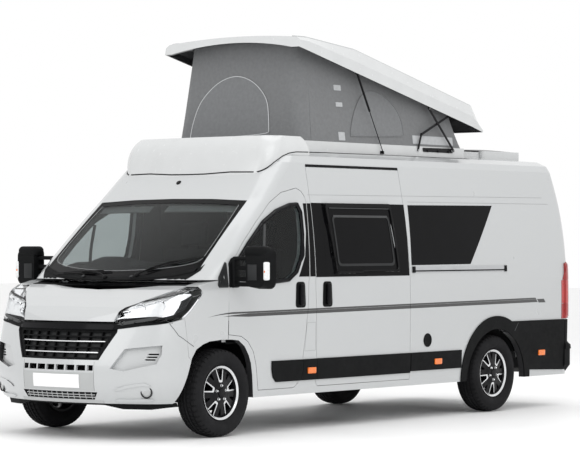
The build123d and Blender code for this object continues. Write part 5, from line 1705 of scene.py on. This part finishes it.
class VAN_OT_tail(bpy.types.Operator):
    """Adds the rear doors' panes, hinges, handle and blank plate, and the tail lamps' sections"""

    bl_idname = "van.tail"
    bl_label = "Tail"

    def execute(self, context):
        for side, hand in HANDS:
            rear_door_parts(side, hand)
            tail_corner(side, hand)
        view = seen_from(FROM_BEHIND, "rear_door_left", "rear_door_right")
        pocket = pad_on("rear_plate_pocket", view, oblong(-0.330, 0.930, -0.050, 1.190), 0.003, 0.004, 0.02)
        settle(pocket, "rear_door_right", FINISH["plastic"])
        plate = pad_on("rear_plate", view, oblong(-0.322, 0.985, -0.058, 1.165), 0.008, 0.004, 0.01, 0.001)
        settle(plate, "rear_door_right", FINISH["plate_white"])
        pocket = pad_on("rear_handle_pocket", view, oblong(0.030, 1.020, 0.200, 1.130), 0.003, 0.004, 0.025)
        settle(pocket, "rear_door_left", FINISH["plastic"])
        point = surface_of(view, 0.115, 1.085)
        grip = block(
            "rear_handle", point - Vector((0.030, 0.070, 0.014)), point + Vector((-0.004, 0.070, 0.014)), 0.010, 4,
        )
        settle(grip, "rear_door_left", FINISH["gloss_black"])
        view = seen_from(FROM_BEHIND, "rear_bumper")
        step = surface(
            "step_tread", 60, 3, lambda u, v: surface_of(view, (2 * u - 1) * 0.55, 0.575 + 0.035 * v, 0.004),
        )
        settle(walled(step, 0.006, 0.001), "body", FINISH["frame_grey"])
        for side, hand in HANDS:
            outline = sided(side, oblong(0.62, 0.440, 0.80, 0.480))
            reflector = pad_on(f"rear_reflector_{hand}", view, outline, 0.005, 0.005, 0.01, 0.001)
            settle(reflector, "body", FINISH["red_lens"])
        view = seen_from(
            FROM_BEHIND, "roof_panel", "body_side_left", "body_side_right", "rear_door_left", "rear_door_right",
        )
        outline = [(-0.170, 2.318), (0.170, 2.318), (0.165, 2.352), (-0.165, 2.352)]
        brake = pad_on("high_brake_lamp", view, outline, 0.012, 0.012, 0.008, 0.001)
        settle(brake, "body", FINISH["red_lens"])
        return {"FINISHED"}


# ---- Roof
CAP_FRONT_SEAM = (
    (-0.710, 2.219), (-0.465, 2.223), (-0.200, 2.210), (0.0, 2.208), (0.200, 2.210), (0.465, 2.223), (0.710, 2.219),
)
ROOF_SEAM = (
    (1.456, 2.219), (1.407, 2.253), (1.340, 2.310), (1.244, 2.360), (1.150, 2.388), (1.057, 2.400), (0.593, 2.408),
    (-0.500, 2.414), (-1.700, 2.414),
)


class VAN_OT_roof(bpy.types.Operator):
    """Adds the lid's side ribs, a dark sheet under the lid that is partly its lining and partly painted shade, the roof
    lights' panes and the roof's seams
    """

    bl_idname = "van.roof"
    bl_label = "Roof"

    def execute(self, context):
        above = seen_from(FROM_ABOVE, "pop_top_lid")
        below = seen_from(FROM_BELOW, "pop_top_lid")

        def lining_and_shade_point(u, v):
            return surface_of(below, -1.850 + 2.690 * u, (2 * v - 1) * 0.685, 0.003)

        # A dark sheet under the lid: partly the lid's lining, partly painted shade under the lid.
        lining = surface("lid_lining", 60, 24, lining_and_shade_point)
        settle(walled(lining, 0.002), "lid", FINISH["lining"], angle=50)
        for side, hand in HANDS:
            line = [(-1.880 + 2.760 * t / 10, side * 0.700) for t in range(11)]
            rib = strip_on(f"lid_rib_{hand}", above, line, 0.070, 0.010, 0.010, 80)
            bevelled(rib, 0.004, 3)
            settle(rib, "lid", FINISH["gelcoat"], angle=50)
        for index, x in enumerate((-0.6, 0.1)):
            ring = strip_on(f"lid_press_{index}", above, [(x, -0.60), (x, 0.60)], 0.030, 0.004, 0.004, 40, taper=True)
            settle(ring, "lid", FINISH["gelcoat"], angle=60)
        cap = seen_from(FROM_FRONT, "roof_cap", "roof_panel")
        seam = strip_on("cap_front_seam", cap, CAP_FRONT_SEAM, 0.010, 0.002, 0.003, 80)
        settle(seam, "body", FINISH["frame_black"])
        for side, hand in HANDS:
            view = from_side(side, "roof_cap", "roof_panel", f"body_side_{hand}")
            seam = strip_on(f"roof_seam_{hand}", view, ROOF_SEAM, 0.008, 0.002, 0.003, 160)
            settle(seam, "body", FINISH["frame_black"])
        rings = [(0.024, -0.010), (0.024, 0.003), (0.020, 0.007), (0.008, 0.009)]
        dot = turned("roof_sensor", rings, ORIGIN, axis="X", count=28)
        moved(dot, surface_of(cap, -0.059, 2.138), -52)
        settle(dot, "body", FINISH["frame_black"])
        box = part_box("roof_light")
        inset = Vector((0.05, 0.05, 0))
        low, high = Vector(box[0]) + inset, Vector(box[1]) - inset

        def dome_point(u, v):
            rise = 0.003 + 0.022 * (sin(pi * u) * sin(pi * v)) ** 0.5
            return Vector((low.x + (high.x - low.x) * u, low.y + (high.y - low.y) * v, high.z + rise))

        dome = surface("roof_light_dome", 30, 20, dome_point)
        settle(walled(dome, 0.003), "body", FINISH["acrylic"], angle=60)
        return {"FINISHED"}


# ---- Panels, studio and the list of steps
NODE_FINISH = {
    "paint": (
        "body_side_left", "body_side_right", "sliding_door", "front_door_left", "front_door_right", "rear_door_left",
        "rear_door_right", "bonnet", "front_wings", "front_bumper", "roof_panel", "floor_pan", "bulkhead",
    ),
    "gelcoat": ("roof_cap", "roof_plinth", "roof_light"),
    "lid_shell": ("pop_top_lid",),
    "plastic": (
        "side_cladding", "rear_bumper", "front_door_fittings_left", "front_door_fittings_right", "cowl", "grille",
        "wheel_housings",
    ),
    "glass": ("windscreen", "front_window_left", "front_window_right"),
    "acrylic": ("side_windows",),
    "lens": ("headlamps",),
    "red_lens": ("tail_lamps",),
    "canvas": ("canvas",),
    "rubber": tuple(f"tyre_{place[0]}" for place in WHEEL_PLACES),
    "alloy": tuple(f"rim_{place[0]}" for place in WHEEL_PLACES),
    "iron": ("front_subframe", "engine_block", "rear_axle", "fuel_tank", "knuckle_left", "knuckle_right"),
    "black_steel": ("crank_links", "cross_links", "long_links", "strut_tubes", "strut_rods"),
    "seat": ("cab_seats",),
    "cabin": ("dashboard", "steering_wheel"),
}


class VAN_OT_finish_panels(bpy.types.Operator):
    """Gives every packed panel its finish"""

    bl_idname = "van.finish_panels"
    bl_label = "Finish panels"

    def execute(self, context):
        make_finishes()
        for finish, nodes in NODE_FINISH.items():
            for node in nodes:
                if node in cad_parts:
                    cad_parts[node].material_slots[0].material = FINISH[finish]
        return {"FINISHED"}


class VAN_OT_studio(bpy.types.Operator):
    """Sets the pale floor, the soft lights and the camera"""

    bl_idname = "van.studio"
    bl_label = "Studio"

    def execute(self, context):
        settings = context.scene.van_studio
        clear_selection()
        bpy.ops.mesh.primitive_plane_add(size=120, location=(0, 0, -0.001))
        floor = named("studio_floor")
        floor.data.materials.append(
            plain_finish("studio_floor", tuple(settings.floor_colour), 0.55, vary=0.01, vary_scale=0.5)
        )
        world = bpy.data.worlds.new("studio_sky")
        world.use_nodes = True
        sky = world.node_tree.nodes["Background"].inputs
        sky["Color"].default_value = (1, 1, 1, 1)
        sky["Strength"].default_value = 1.0
        context.scene.view_settings.view_transform = "Standard"
        context.scene.world = world
        lights = (
            ("key", (6, 9, 9), 10, settings.key_power),
            ("front", (13, -3, 5), 6, settings.key_power * 0.35),
            ("top", (-2, 0, 11), 9, settings.key_power * 0.6),
        )
        for name, place, size, power in lights:
            bpy.ops.object.light_add(type="AREA", location=place)
            light = bpy.context.active_object
            light.name = name
            light.data.energy = power
            light.data.size = size
            light.rotation_euler = (Vector((0, 0, 1.2)) - Vector(place)).to_track_quat("-Z", "Y").to_euler()
        place = Vector((17.982, 14.298, 1.5895))
        bpy.ops.object.camera_add(location=place)
        camera = bpy.context.active_object
        right = Vector((-0.62395, 0.78146, -0.00100))
        up = Vector((0.00570, 0.00583, 0.99997))
        back = right.cross(up)
        turn = Matrix((right, up, back)).transposed().to_4x4()
        camera.matrix_world = Matrix.Translation(place) @ turn
        camera.data.sensor_width = 36
        camera.data.lens = 154.38
        camera.data.clip_end = 200
        context.scene.camera = camera
        return {"FINISHED"}


OPERATORS = [
    VAN_OT_finish_panels,
    VAN_OT_alloy_wheels,
    VAN_OT_tyres,
    VAN_OT_canvas,
    VAN_OT_lid_gear,
    VAN_OT_side_trim,
    VAN_OT_nose,
    VAN_OT_windscreen_trim,
    VAN_OT_mirrors,
    VAN_OT_cab,
    VAN_OT_tail,
    VAN_OT_roof,
    VAN_OT_studio,
]


class VAN_PT_dressing(bpy.types.Panel):
    """Lists the steps that dress the van"""

    bl_idname = "VAN_PT_dressing"
    bl_label = "Camper Van"
    bl_space_type = "VIEW_3D"
    bl_region_type = "UI"
    bl_category = "Camper Van"

    def draw(self, context):
        for operator in OPERATORS:
            self.layout.operator(operator.bl_idname)


CLASSES = [PaintSettings, TrimSettings, StudioSettings, *OPERATORS, VAN_PT_dressing]
GROUPS = {"van_paint": PaintSettings, "van_trim": TrimSettings, "van_studio": StudioSettings}


def register():
    for item in CLASSES:
        bpy.utils.register_class(item)
    for name, group in GROUPS.items():
        setattr(bpy.types.Scene, name, bpy.props.PointerProperty(type=group))


def unregister():
    for name in GROUPS:
        delattr(bpy.types.Scene, name)
    for item in reversed(CLASSES):
        bpy.utils.unregister_class(item)


def main():
    register()
    for operator in OPERATORS:
        group, name = operator.bl_idname.split(".")
        getattr(getattr(bpy.ops, group), name)()
    clear_selection()


if __name__ == "__main__":
    main()
